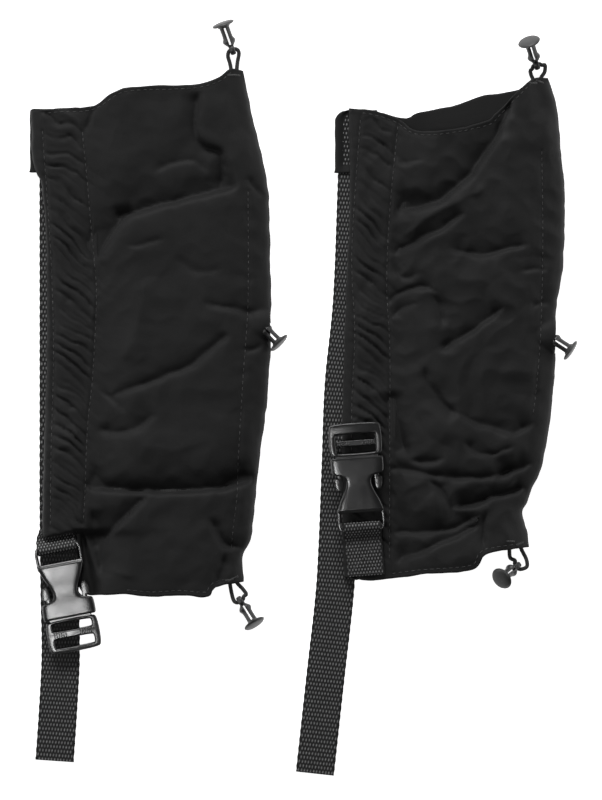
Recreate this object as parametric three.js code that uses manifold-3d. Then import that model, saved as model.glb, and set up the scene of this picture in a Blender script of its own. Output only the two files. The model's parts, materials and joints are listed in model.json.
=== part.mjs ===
// A pair of short walking gaiters, lying flat on their back panels, side by side.
// Each is a nylon sleeve with a gathered side channel, a webbing strap, a side-release
// buckle and elastic loops that carry mushroom-headed hooks. Units are millimetres.
import * as THREE from 'three';
import { mergeVertices } from 'three/addons/utils/BufferGeometryUtils.js';
import Module from 'manifold-3d';

const wasm = await Module();
wasm.setup();

// ---- driving dimensions -------------------------------------------------------------
const sleeveWidth = 150;
const sleeveLength = 320;
const draftWidth = 150;
const draftLength = 320;
const fabric = 1.2;
const gap = 0.3;
const crown = 11;
const channelRise = 3;
const channelEnd = 0.2;
const crownStart = 0.42;
const crownEnd = 0.7;
const strapWidth = 25;
const strapThick = 1.5;
const tabLeaf = 0.6;
const tabReach = 26;
const tabRun = 25;
const loopWebbing = 1.2;
const elasticThick = 0.8;
const facingThick = 0.8;
const buckleSide = 4.7;
const buckleThick = 9;
const socketLength = 45.3;
const barRadius = 1.7;
const barSlot = 5.6;
const sideArm = 2.6;
const sideArmThick = 5;
const barClearance = 0.9;
const blockLength = 4.7;
const waistWidth = 16;
const waistAt = 27;
const collarLength = 12;
const collarWall = 2.9;
const cavityHeight = 5.6;
const mouthGap = 0.5;
const plugFrame = 22;
const plugThick = 5.4;
const plugBase = 3.2;
const ladderSlot = 5.6;
const ladderBar = 4.4;
const endBar = 3.7;
const slotSide = 4.2;
const tongueWidth = 6;
const tongueLength = 28;
const armRunning = 0.4;
const armThick = 3.2;
const padStandOut = 1.2;
const padLength = 9;
const hookLength = 19.3;
const hookHead = 7.4;
const headThick = 2.9;
const collarRadius = 4.2;
const shankRadius = 3.3;
const barbRadius = 4.2;
const slitWidth = 1.2;
const eyeRadius = 3.6;
const eyeWidth = 3.6;
const cordRadius = 1.3;
const eyeClearance = 0.45;
const tailGap = 0.3;
const restRise = 0.8;

const buckleWidth = strapWidth + 2 * buckleSide;
const panelGap = gap + 0.4;
const liningGap = 2 * gap;
const overStrap = strapThick + gap;
const overTab = 2 * tabLeaf + strapThick + 3 * gap;
const overLoop = strapThick + 2 * loopWebbing + 3 * gap + 0.2;
const overChannel = overStrap + fabric + panelGap + channelRise + restRise;
const webbingRadius = barRadius + eyeClearance + loopWebbing / 2;
const cordInside = fabric + gap + cordRadius;
const slotStart = barRadius + barSlot;

// ---- materials ----------------------------------------------------------------------
const finish = (color, roughness) => new THREE.MeshStandardMaterial({ color, roughness });
const nylon = finish(0x252525, 0.72);
const webbing = finish(0x333333, 0.8);
const elastic = finish(0x1f1f1f, 0.9);
const acetal = finish(0x454545, 0.42);
const hookPlastic = finish(0x4a4a4a, 0.5);
const shockCord = finish(0x2c2c2c, 0.85);

// ---- outlines and routes of the two gaiters ------------------------------------------
// Points are [x, y] from the foot of the fold, for a sleeve of draftWidth by draftLength.
const leftGaiter = {
  name: 'left',
  place: [-169.3, -131.6],
  top: [[-4, 317], [32, 320], [52, 331], [85, 333], [100, 334], [113, 338], [121, 344], [129, 343]],
  right: [[129, 343], [134.6, 315], [143.7, 276], [146, 250], [147, 185], [145.6, 139],
    [138.5, 81], [134.6, 42], [129, 27], [129.4, 10]],
  bottom: [[-0.6, 39], [14, 40.5], [27, 43.5], [33.5, 24], [36.5, 1.5], [54, 2], [70, 0.7],
    [106.6, 0.7], [112, 7], [129.4, 10]],
  left: [[-4, 317], [-2, 276], [1.3, 239], [2, 174], [0.6, 109], [-0.6, 64], [-0.6, 39]],
  strap: [[9.5, 314], [8.9, 270], [8.9, 200], [8.9, 120], [8.9, 60], [9.6, 0], [10.2, -38.3],
    [8.4, -75], [6.2, -107]],
  strapFold: -38.3,
  footLift: overLoop,
  tab: { slack: 6.8, from: 277, to: 318.5 },
  buckle: { at: [8.4, 31.9], turn: 190.8, height: strapThick + gap + buckleThick / 2 },
  loop: { length: 22, low: strapThick + gap + loopWebbing / 2 },
  hooks: [
    { name: 'top', eye: [122.2, 356.9, 3.9], head: [115.7, 375], lift: 12,
      strands: [[[126.6, 354.6], [125.6, 348.6], [125.1, 343], [124.6, 334]],
        [[119.4, 352.6], [120.7, 348], [121.5, 343], [121.2, 334]]] },
    { name: 'middle', eye: [140.4, 178.1, 5.3], head: [153.7, 164.8], lift: 8,
      strands: [[[140.6, 182.8], [137.6, 185.4], [133, 189], [129.6, 191.4]],
        [[135.6, 177.8], [133.2, 180.4], [129.4, 183.6], [126, 186]]] },
    { name: 'bottom', eye: [127.7, -2.6, 3.9], head: [137.2, -17.6], lift: 18,
      strands: [[[131.4, 1.8], [129.2, 5.2], [125, 10], [123.6, 18]],
        [[122.9, -1.4], [121.8, 2.6], [120.8, 8.4], [120, 17.6]]] },
  ],
};

const rightGaiter = {
  name: 'right',
  place: [26.3, -119.9],
  top: [[3.3, 307], [18, 305], [34, 300], [47, 292], [66, 292.5], [92, 298], [99, 304],
    [110, 315], [122, 326], [132, 327]],
  backTop: [[3.3, 307], [18, 305.5], [39, 300.5], [47, 304], [71, 309], [89, 315], [113, 319],
    [123, 326], [132, 327]],
  right: [[132, 327], [137.8, 309], [141, 277], [143, 253.5], [142.4, 208], [137.8, 177],
    [136.5, 136.5], [133.3, 101], [128, 75], [119, 52], [115.5, 43], [119, 30], [119.6, 21]],
  bottom: [[0, 1.3], [18, -0.7], [49.4, 3.3], [82.6, 6.5], [90, 15.6], [98, 18], [119.6, 21]],
  left: [[3.3, 307], [3.9, 247], [1.3, 182], [-0.6, 117], [-1.3, 65], [0, 1.3]],
  strap: [[9.5, 302], [7.8, 257], [4.6, 179], [-0.6, 127], [-2.6, 75], [-4.6, 23], [-6.5, -9],
    [-12.6, -64], [-19.5, -127]],
  strapFold: -7.5,
  footLift: overStrap,
  tab: { slack: 3.5, from: 265, to: 306 },
  buckle: { at: [11.1, 34.5], turn: 4.3, height: overChannel + buckleThick / 2 },
  loop: { length: 32, low: overChannel + loopWebbing / 2 },
  hooks: [
    { name: 'top', eye: [124.8, 335.4, 3.9], head: [119, 351], lift: 32,
      strands: [[[130.4, 335.4], [130.4, 331], [128, 327], [125.6, 318]],
        [[121, 331.6], [121.6, 328.6], [122.6, 326], [121.8, 318]]] },
    { name: 'middle', eye: [132.3, 158.9, 5.3], head: [147.9, 148.5], lift: 8,
      strands: [[[131.6, 163.6], [128.2, 165.6], [122.8, 168.6], [118.8, 170.4]],
        [[127.4, 158.2], [124.6, 160.2], [119.4, 163.4], [115.6, 165.2]]] },
    { name: 'bottom', eye: [111.8, 8.4, 3.9], head: [100.1, 0], lift: 45,
      strands: [[[118.7, 8.2], [118.6, 12.4], [114.8, 20.6], [113.6, 28]],
        [[108, 13.8], [107.4, 17.4], [107.6, 22], [107.9, 28.4]]] },
  ],
};

// ---- solids -------------------------------------------------------------------------
function plain(geometry) {
  const bare = geometry.index ? geometry : mergeVertices(geometry);
  bare.deleteAttribute('normal');
  bare.deleteAttribute('uv');
  return mergeVertices(bare, 1e-5);
}

function solid(geometry) {
  const { attributes, index } = plain(geometry);
  const mesh = new wasm.Mesh({
    numProp: 3,
    vertProperties: new Float32Array(attributes.position.array),
    triVerts: new Uint32Array(index.array),
  });
  return new wasm.Manifold(mesh);
}

function geometryOf(manifold) {
  const { vertProperties, triVerts } = manifold.getMesh();
  const geometry = new THREE.BufferGeometry();
  geometry.setAttribute('position', new THREE.BufferAttribute(vertProperties, 3));
  geometry.setIndex(new THREE.BufferAttribute(triVerts, 1));
  return geometry;
}

function block(width, length, height, x, y, z = 0) {
  return new THREE.BoxGeometry(width, length, height).translate(x, y, z);
}

function prism(points, thickness, segments = 4) {
  const options = { depth: thickness, bevelEnabled: false, curveSegments: segments };
  const shape = new THREE.Shape(points.map(([x, y]) => new THREE.Vector2(x, y)));
  return new THREE.ExtrudeGeometry(shape, options).translate(0, 0, -thickness / 2);
}

// A sheet: place(u, v, w) puts each point of a gridded slab, u across, v down, w up.
function slab(across, along, place) {
  const geometry = plain(new THREE.BoxGeometry(1, 1, 1, across, along, 1));
  const position = geometry.attributes.position;
  for (let i = 0; i < position.count; i += 1) {
    const u = position.getX(i) + 0.5;
    const v = 0.5 - position.getY(i);
    const spot = place(u, v, position.getZ(i) + 0.5);
    position.setXYZ(i, spot.x, spot.y, spot.z);
  }
  return geometry;
}

function part(name, geometry, material, group) {
  const mesh = new THREE.Mesh(geometry, material);
  mesh.name = name;
  group.add(mesh);
  return mesh;
}

const ease = (from, to, value) => THREE.MathUtils.smoothstep(value, from, to);
// Both panels share one grid of stations, closer together towards the fold and the seam.
const across = 12;
const along = 14;
const station = (k) => (1 - Math.cos((Math.PI * k) / across)) / 2;
const liftEnds = 4;

// ---- sleeve surfaces ----------------------------------------------------------------
function scaled([x, y]) {
  return new THREE.Vector2((x * sleeveWidth) / draftWidth, (y * sleeveLength) / draftLength);
}

function edge(points) {
  const curve = new THREE.SplineCurve(points.map(scaled));
  return (t) => curve.getPointAt(THREE.MathUtils.clamp(t, 0, 1));
}

// The plan of a panel, blended between its four edges.
function plan(gaiter, topPoints) {
  const top = edge(topPoints);
  const [bottom, left, right] = [gaiter.bottom, gaiter.left, gaiter.right].map(edge);
  const [tl, tr, bl, br] = [top(0), top(1), bottom(0), bottom(1)];
  return (u, v) => {
    const rails = top(u).multiplyScalar(1 - v).addScaledVector(bottom(u), v);
    rails.addScaledVector(left(v), 1 - u).addScaledVector(right(v), u);
    rails.addScaledVector(tl, -(1 - u) * (1 - v)).addScaledVector(tr, -u * (1 - v));
    return rails.addScaledVector(bl, -(1 - u) * v).addScaledVector(br, -u * v);
  };
}

// How far the strap, its tab and the buckle's loop lift the sleeve off the floor.
function liftOf(gaiter) {
  return (v) => overStrap
    + (overTab - overStrap) * (1 - ease(0.22, 0.4, v))
    + (gaiter.footLift - overStrap) * ease(0.7, 0.8, v);
}

function profile(u) {
  const side = channelRise * Math.sqrt(Math.min(1, u / 0.06));
  const middle = (crown - channelRise) * ease(channelEnd, crownStart, u);
  const fall = u > crownEnd ? Math.sqrt(1 - ((u - crownEnd) / (1 - crownEnd)) ** 2) : 1;
  return (side + middle) * fall;
}

function frontSurface(gaiter) {
  const spread = plan(gaiter, gaiter.top);
  const lift = liftOf(gaiter);
  return (u, v) => {
    const { x, y } = spread(u, v);
    const base = fabric + panelGap + lift(v) * (1 - ease(station(3), 0.6, u));
    return new THREE.Vector3(x, y, base + profile(u));
  };
}

// A point some depth below the front surface, square to it.
function below(surface, u, v, depth) {
  const step = 0.004;
  const [u0, u1] = [Math.max(0, u - step), Math.min(1, u + step)];
  const [v0, v1] = [Math.max(0, v - step), Math.min(1, v + step)];
  const across = surface(u1, v).sub(surface(u0, v));
  const down = surface(u, v1).sub(surface(u, v0));
  const normal = down.cross(across).normalize();
  return surface(u, v).addScaledVector(normal, -depth);
}

// The back panel's underside, over the strap near the fold and on the floor elsewhere.
function underside(gaiter) {
  const lift = liftOf(gaiter);
  return (u, v) => lift(v) * (1 - ease(station(liftEnds), station(liftEnds + 1), u));
}

function frontPanel(gaiter, surface) {
  const under = underside(gaiter);
  return slab(across, along, (t, v, w) => {
    const u = station(t * across);
    const spot = below(surface, u, v, (1 - w) * fabric);
    spot.z = Math.max(spot.z, under(u, v) + fabric + gap);
    return spot;
  });
}

// A strip sewn inside the front panel, between two of its stations across and two along.
function lining(surface, [first, last], [top, foot], thickness) {
  return slab(last - first, foot - top, (s, t, w) => {
    const u = station(first + s * (last - first));
    const v = (top + t * (foot - top)) / along;
    return below(surface, u, v, fabric + liningGap + (1 - w) * thickness);
  });
}

function backPanel(gaiter) {
  const spread = plan(gaiter, gaiter.backTop ?? gaiter.top);
  const under = underside(gaiter);
  return slab(across, along, (t, v, w) => {
    const u = station(t * across);
    const { x, y } = spread(u, v);
    return new THREE.Vector3(x, y, under(u, v) + w * fabric);
  });
}

// ---- webbing ------------------------------------------------------------------------
function strapCurve(gaiter) {
  const points = gaiter.strap.map(scaled);
  return new THREE.CatmullRomCurve3(points.map(({ x, y }) => new THREE.Vector3(x, y, 0)));
}

// The strap lies on the floor and rises onto its tab's lower leaf near the top.
function strapHeight(gaiter) {
  const end = scaled([0, gaiter.tab.from - 2]).y;
  return (y) => strapThick / 2 + (tabLeaf + gap) * ease(end - tabRun, end, y);
}

function paramAt(curve, y) {
  let [from, to] = [0, 1];
  for (let i = 0; i < 40; i += 1) {
    const middle = (from + to) / 2;
    if (curve.getPointAt(middle).y > y) from = middle;
    else to = middle;
  }
  return from;
}

function ribbon(curve, height, from, to, steps) {
  return slab(1, steps, (u, v, w) => {
    const t = THREE.MathUtils.lerp(from, to, v);
    const heading = curve.getTangentAt(t);
    const side = new THREE.Vector3(-heading.y, heading.x, 0).normalize();
    const spot = curve.getPointAt(t).addScaledVector(side, (u - 0.5) * strapWidth);
    return spot.setZ(height(curve.getPointAt(t).y) + (w - 0.5) * strapThick);
  });
}

// A flat band of even thickness along a path drawn in a plane.
function bandShape(points, thickness) {
  const path = new THREE.SplineCurve(points.map(([a, b]) => new THREE.Vector2(a, b)));
  const steps = points.length * 3;
  const sides = [[], []];
  for (let i = 0; i <= steps; i += 1) {
    const spot = path.getPoint(i / steps);
    const heading = path.getTangent(i / steps);
    const out = new THREE.Vector2(-heading.y, heading.x).multiplyScalar(thickness / 2);
    sides[0].push(spot.clone().add(out));
    sides[1].unshift(spot.clone().sub(out));
  }
  return new THREE.Shape([...sides[0], ...sides[1]]);
}

// A leaf of fabric folded round the strap's top end, open towards the sleeve.
function anchorTab({ fold, from, to }) {
  const outer = strapThick / 2 + gap + tabLeaf;
  const inner = outer - tabLeaf;
  const bend = fold + outer;
  const end = bend + tabReach;
  const section = new THREE.Shape();
  section.moveTo(end, 0).lineTo(bend, 0);
  section.absarc(bend, outer, outer, -Math.PI / 2, Math.PI / 2, true);
  section.lineTo(end, 2 * outer).lineTo(end, outer + inner).lineTo(bend, outer + inner);
  section.absarc(bend, outer, inner, Math.PI / 2, -Math.PI / 2, false);
  section.lineTo(end, tabLeaf);
  const options = { depth: to - from, curveSegments: 6, bevelEnabled: false };
  return new THREE.ExtrudeGeometry(section, options).rotateX(Math.PI / 2).translate(0, to, 0);
}

// The webbing round the buckle's bar, in the buckle's frame: -y runs to its sewn ends.
function buckleLoop(length, low) {
  const high = low + loopWebbing + gap;
  const r = webbingRadius;
  const slant = 0.72 * r;
  const points = [[-length, low], [-length / 2, low], [-6.4, low], [-3.6, (low - r) / 2],
    [0, -r], [slant, -slant], [r, 0], [slant, slant], [0, r], [-slant, slant],
    [-4.4, (high + slant) / 2], [-7.2, high], [-length / 2, high], [-length, high]];
  const options = { depth: strapWidth, bevelEnabled: false };
  const band = new THREE.ExtrudeGeometry(bandShape(points, loopWebbing), options);
  return band.rotateY(Math.PI / 2).rotateX(Math.PI / 2).translate(-strapWidth / 2, 0, 0);
}

// ---- buckle -------------------------------------------------------------------------
function mirrored(side) {
  return [...side, ...side.map(([x, y]) => [-x, y]).reverse()];
}

function socketOutline() {
  const half = buckleWidth / 2;
  const waist = waistWidth / 2;
  const shoulder = socketLength - collarLength;
  const side = [[half - 1.2, slotStart], [half - 2, slotStart + 4], [half - 5.6, slotStart + 9],
    [waist + 1.4, slotStart + 14], [waist, waistAt - 2], [waist, waistAt + 2], [waist + 1.6, shoulder - 2],
    [half - 1, shoulder], [half - 0.3, shoulder + 2], [half, socketLength - 1.5], [half - 1, socketLength]];
  return mirrored(side);
}

function buckleSocket() {
  const frameLength = barRadius + slotStart + 1;
  const armX = strapWidth / 2 + barClearance + sideArm / 2;
  const armY = frameLength / 2 - barRadius;
  const bar = new THREE.CylinderGeometry(barRadius, barRadius, 2 * armX, 10).rotateZ(Math.PI / 2);
  const cavityFrom = slotStart + blockLength;
  const cavityLength = socketLength - cavityFrom + 1;
  const cavity = block(buckleWidth - 2 * collarWall, cavityLength, cavityHeight,
    0, cavityFrom + cavityLength / 2);
  const shell = solid(prism(socketOutline(), buckleThick)).subtract(solid(cavity));
  const sides = [armX, -armX].map((x) => solid(block(sideArm, frameLength, sideArmThick, x, armY)));
  return geometryOf(shell.add(sides[0]).add(sides[1]).add(solid(bar)));
}

const plugStart = socketLength + mouthGap;
const plugEnd = plugStart + plugFrame;
const baseStart = socketLength - plugBase + mouthGap;

function bucklePlug() {
  const half = buckleWidth / 2;
  const corner = 2;
  const side = [[half, plugStart], [half, plugEnd - corner], [half - corner, plugEnd]];
  const slotWidth = buckleWidth - 2 * slotSide;
  const endSlot = plugEnd - endBar - ladderSlot / 2 - 0.2;
  const ladder = endSlot - ladderSlot - ladderBar;
  const slots = [endSlot, ladder].map((y) => solid(block(slotWidth, ladderSlot, 2 * plugThick, 0, y)));
  const neckWidth = buckleWidth - 2 * collarWall - 2 * armRunning;
  const neck = block(neckWidth, plugBase + 1, cavityHeight - 2 * armRunning,
    0, baseStart + (plugBase + 1) / 2);
  const tongue = block(tongueWidth, tongueLength + 1, 3, 0, baseStart - tongueLength / 2 + 0.5);
  const frame = solid(prism(mirrored(side), plugThick)).subtract(slots[0]).subtract(slots[1]);
  return geometryOf(frame.add(solid(neck)).add(solid(tongue)));
}

// One sprung arm, drawn from its root at the plug's base: +x is outward, -y into the socket.
function latchArm() {
  const hand = armThick / 2;
  const shoulder = baseStart - (socketLength - collarLength) + 0.6;
  const pad = buckleWidth / 2 - collarWall + padStandOut - armRootX();
  return prism([[hand, -gap], [hand, -shoulder + 2], [hand - 0.2, -shoulder], [pad - 0.3, -shoulder - 0.2],
    [pad, -shoulder - 2], [pad - 0.6, -shoulder - padLength + 2], [hand, -shoulder - padLength],
    [-hand, -shoulder - padLength + 0.5], [-hand, -gap]], cavityHeight - 2.5 * armRunning);
}

function armRootX() {
  return buckleWidth / 2 - collarWall - armRunning - armThick / 2 - 0.4;
}

// ---- hooks and their loops ----------------------------------------------------------
// A hook's frame has its eye at the origin, the eye's hole along x and the head at +y.
function hook() {
  const neck = hookLength - headThick;
  const outline = [[0, 1], [2, 1.2], [barbRadius, 5], [barbRadius, 6.6], [shankRadius, 9],
    [shankRadius, neck - 1], [collarRadius, neck - 0.2], [hookHead - 0.6, neck + 0.4],
    [hookHead, neck + 1.2], [hookHead - 1.6, hookLength - 0.6], [0, hookLength]];
  const turned = new THREE.LatheGeometry(outline.map(([r, y]) => new THREE.Vector2(r, y)), 12);
  const eye = (radius, width) => solid(
    new THREE.CylinderGeometry(radius, radius, width, 12).rotateZ(Math.PI / 2));
  const slit = block(slitWidth, neck - 7, 4 * shankRadius, 0, 5.4 + (neck - 7) / 2);
  const trimmed = solid(turned).subtract(solid(slit)).add(eye(eyeRadius, eyeWidth));
  return geometryOf(trimmed.subtract(eye(cordRadius + eyeClearance, 4 * eyeWidth)));
}

function hookFrame(gaiter, { eye, head, lift }) {
  const spot = scaled(eye);
  const aim = scaled(head).sub(spot);
  const group = new THREE.Group();
  group.position.set(spot.x, spot.y, eye[2]);
  group.rotation.set(THREE.MathUtils.degToRad(lift), 0, Math.atan2(-aim.x, aim.y), 'ZYX');
  return group;
}

// The route is chosen by hand: out of the hem, through the hook's eye and back.
function loopRoute(gaiter, spec) {
  const frame = hookFrame(gaiter, spec);
  frame.updateMatrixWorld();
  const span = eyeWidth / 2 + gap + cordRadius;
  const reach = -cordRadius - gap;
  const turn = span - cordRadius;
  const through = [[span, reach], [turn, -0.2], [0, 0], [-turn, -0.2], [-span, reach]];
  const flat = new THREE.Matrix4().makeRotationZ(frame.rotation.z).setPosition(frame.position);
  const bend = through.map(([x, y]) => new THREE.Vector3(x, y, 0).applyMatrix4(flat));
  const strands = spec.strands.map((strand) => strand.map((point, i) => {
    const { x, y } = scaled(point);
    return new THREE.Vector3(x, y, i === 0 ? (spec.eye[2] + cordInside) / 2 : cordInside);
  }));
  const nearFirst = ([a]) => a.distanceTo(bend[0]);
  strands.sort((a, b) => nearFirst(a) - nearFirst(b));
  const points = [...strands[0].reverse(), ...bend, ...strands[1]];
  return new THREE.CatmullRomCurve3(points, false, 'centripetal');
}

function cordLoop(gaiter, spec) {
  const section = new THREE.Shape().absarc(0, 0, cordRadius, 0, 2 * Math.PI);
  const path = loopRoute(gaiter, spec);
  const options = { extrudePath: path, steps: 24, curveSegments: 4, bevelEnabled: false };
  return new THREE.ExtrudeGeometry(section, options);
}

// The mouth in the side seam where a middle hook's loop comes out.
function seamMouth(gaiter, spec) {
  const frame = hookFrame(gaiter, spec);
  const width = eyeWidth + 4 * (cordRadius + gap);
  const mouth = block(width, 24, 30, 0, 12 - eyeRadius - 2 * gap, 15);
  mouth.rotateZ(frame.rotation.z);
  return mouth.translate(frame.position.x, frame.position.y, fabric + gap);
}

// ---- one gaiter ---------------------------------------------------------------------
function addSleeve(gaiter, group) {
  const surface = frontSurface(gaiter);
  const middle = gaiter.hooks.find(({ name }) => name === 'middle');
  const mouth = solid(seamMouth(gaiter, middle));
  const front = geometryOf(solid(frontPanel(gaiter, surface)).subtract(mouth));
  part(`${gaiter.name}_front_panel`, front, nylon, group);
  part(`${gaiter.name}_back_panel`, backPanel(gaiter), nylon, group);
  const channel = lining(surface, [2, 4], [1, 12], elasticThick);
  part(`${gaiter.name}_channel_elastic`, channel, elastic, group);
  const ankle = lining(surface, [5, 8], [11, 12], elasticThick);
  part(`${gaiter.name}_ankle_elastic`, ankle, elastic, group);
  const facing = lining(surface, [9, 10], [4, 13], facingThick);
  part(`${gaiter.name}_seam_facing`, facing, nylon, group);
}

function addStrap(gaiter, group) {
  const curve = strapCurve(gaiter);
  const height = strapHeight(gaiter);
  const crease = paramAt(curve, scaled([0, gaiter.strapFold]).y);
  const half = tailGap / 2 / curve.getLength();
  part(`${gaiter.name}_strap`, ribbon(curve, height, 0, crease - half, 22), webbing, group);
  const at = curve.getPointAt(crease);
  const heading = curve.getTangentAt(crease);
  const hinge = new THREE.Group();
  hinge.position.set(at.x, at.y, strapThick);
  hinge.rotation.z = Math.atan2(heading.x, -heading.y);
  group.add(hinge);
  const tail = ribbon(curve, height, crease + half, 1, 8);
  tail.translate(-at.x, -at.y, -strapThick).rotateZ(-hinge.rotation.z);
  part(`${gaiter.name}_strap_tail`, tail, webbing, hinge);
  const fold = scaled(gaiter.strap[0]).x - strapWidth / 2 - gaiter.tab.slack;
  const [from, to] = [gaiter.tab.from, gaiter.tab.to].map((y) => scaled([0, y]).y);
  part(`${gaiter.name}_strap_anchor_tab`, anchorTab({ fold, from, to }), nylon, group);
}

function addBuckle(gaiter, group) {
  const { at, turn, height } = gaiter.buckle;
  const spot = scaled(at);
  const buckle = new THREE.Group();
  buckle.position.set(spot.x, spot.y, height);
  buckle.rotation.z = THREE.MathUtils.degToRad(turn);
  group.add(buckle);
  const { length, low } = gaiter.loop;
  part(`${gaiter.name}_buckle_loop`, buckleLoop(length, low - height), webbing, buckle);
  part(`${gaiter.name}_buckle_socket`, buckleSocket(), acetal, buckle);
  part(`${gaiter.name}_buckle_plug`, bucklePlug(), acetal, buckle);
  for (const [hand, side] of [['left', -1], ['right', 1]]) {
    const root = new THREE.Group();
    root.position.set(side * armRootX(), baseStart, 0);
    root.rotation.y = side < 0 ? Math.PI : 0;
    buckle.add(root);
    part(`${gaiter.name}_latch_arm_${hand}`, latchArm(), acetal, root);
  }
}

function addHooks(gaiter, group) {
  for (const spec of gaiter.hooks) {
    const frame = hookFrame(gaiter, spec);
    group.add(frame);
    part(`${gaiter.name}_hook_${spec.name}`, hook(), hookPlastic, frame);
    part(`${gaiter.name}_loop_${spec.name}`, cordLoop(gaiter, spec), shockCord, group);
  }
}

function build(gaiter) {
  const group = new THREE.Group();
  group.position.set(...gaiter.place, 0);
  addSleeve(gaiter, group);
  addStrap(gaiter, group);
  addBuckle(gaiter, group);
  addHooks(gaiter, group);
  return group;
}

const pair = new THREE.Group();
pair.add(build(leftGaiter), build(rightGaiter));
const extent = new THREE.Box3().setFromObject(pair, true);
const centre = extent.getCenter(new THREE.Vector3());
pair.position.set(-centre.x, -centre.y, -extent.min.z);

export default pair;
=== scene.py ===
"""Looks for a pair of short walking gaiters, lying flat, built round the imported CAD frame.

Plans and routes are in millimetres from each gaiter's own origin, the foot of its fold,
as in the CAD; heights are in millimetres above the floor. Meshes are in metres.
"""

import json
import math

import bmesh
import bpy
import numpy as np
from mathutils import Matrix, Vector, noise
from mathutils.bvhtree import BVHTree


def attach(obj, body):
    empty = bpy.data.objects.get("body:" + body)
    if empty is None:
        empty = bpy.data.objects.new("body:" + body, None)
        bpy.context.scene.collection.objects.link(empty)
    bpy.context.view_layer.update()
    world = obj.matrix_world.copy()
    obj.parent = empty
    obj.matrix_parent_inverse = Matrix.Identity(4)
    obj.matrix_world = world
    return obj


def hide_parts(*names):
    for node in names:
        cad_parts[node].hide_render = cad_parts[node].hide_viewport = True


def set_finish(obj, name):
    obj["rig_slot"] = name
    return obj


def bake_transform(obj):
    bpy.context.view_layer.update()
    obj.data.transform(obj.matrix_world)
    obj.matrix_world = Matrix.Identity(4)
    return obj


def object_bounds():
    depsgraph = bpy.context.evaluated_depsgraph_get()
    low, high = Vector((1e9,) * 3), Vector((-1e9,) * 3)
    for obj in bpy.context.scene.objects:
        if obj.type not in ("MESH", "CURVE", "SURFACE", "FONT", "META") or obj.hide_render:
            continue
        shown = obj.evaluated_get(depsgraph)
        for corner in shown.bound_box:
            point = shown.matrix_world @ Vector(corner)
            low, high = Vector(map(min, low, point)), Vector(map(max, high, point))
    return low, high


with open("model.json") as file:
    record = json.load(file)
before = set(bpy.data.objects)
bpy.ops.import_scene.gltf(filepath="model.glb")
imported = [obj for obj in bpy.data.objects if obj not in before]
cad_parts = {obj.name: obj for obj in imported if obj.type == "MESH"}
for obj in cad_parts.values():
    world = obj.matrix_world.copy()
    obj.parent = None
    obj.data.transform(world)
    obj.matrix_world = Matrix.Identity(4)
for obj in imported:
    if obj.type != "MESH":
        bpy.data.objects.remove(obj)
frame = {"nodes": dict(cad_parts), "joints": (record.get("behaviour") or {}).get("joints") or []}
cad_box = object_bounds()
MM = 0.001
SIDES = ("left", "right")
JOINTS = {joint["name"]: joint for joint in frame["joints"]}

# ---- sizes, in millimetres -------------------------------------------------------------
FABRIC = 0.7
PANEL_BASE = 1.9
OVER_STRAP = 1.8
OVER_TAB = 3.6
OVER_LOOP = 5.0
CHANNEL_RISE = 3.0
CROWN_RISE = 8.0
PLEAT_PITCH = 8.6
PLEAT_HEIGHT = 2.8
STRAP_WIDTH = 25.0
STRAP_THICK = 1.5
LOOP_THICK = 1.2
LOOP_RADIUS = 2.75
CORD_RADIUS = 1.3
HEM_TOP = 2.4
HEM_FOOT = 3.2
THREAD = 0.2
STITCH_PITCH = 4.1
TACK = 2.4
TAB_REACH = 26.0
TAB_THICK = 0.6
BUCKLE_HALF = 17.6
BUCKLE_REACH = 68.5
TUCK = 0.55                     # how much steeper a crease is under its line
ROWS_DOWN = 250                 # stations down a sleeve
STRIP_SIZE = (1.5, 0.7)         # metres, the two side lights
FLOOR_HALF, FLOOR_Z = 3.0, -0.0004

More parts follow.
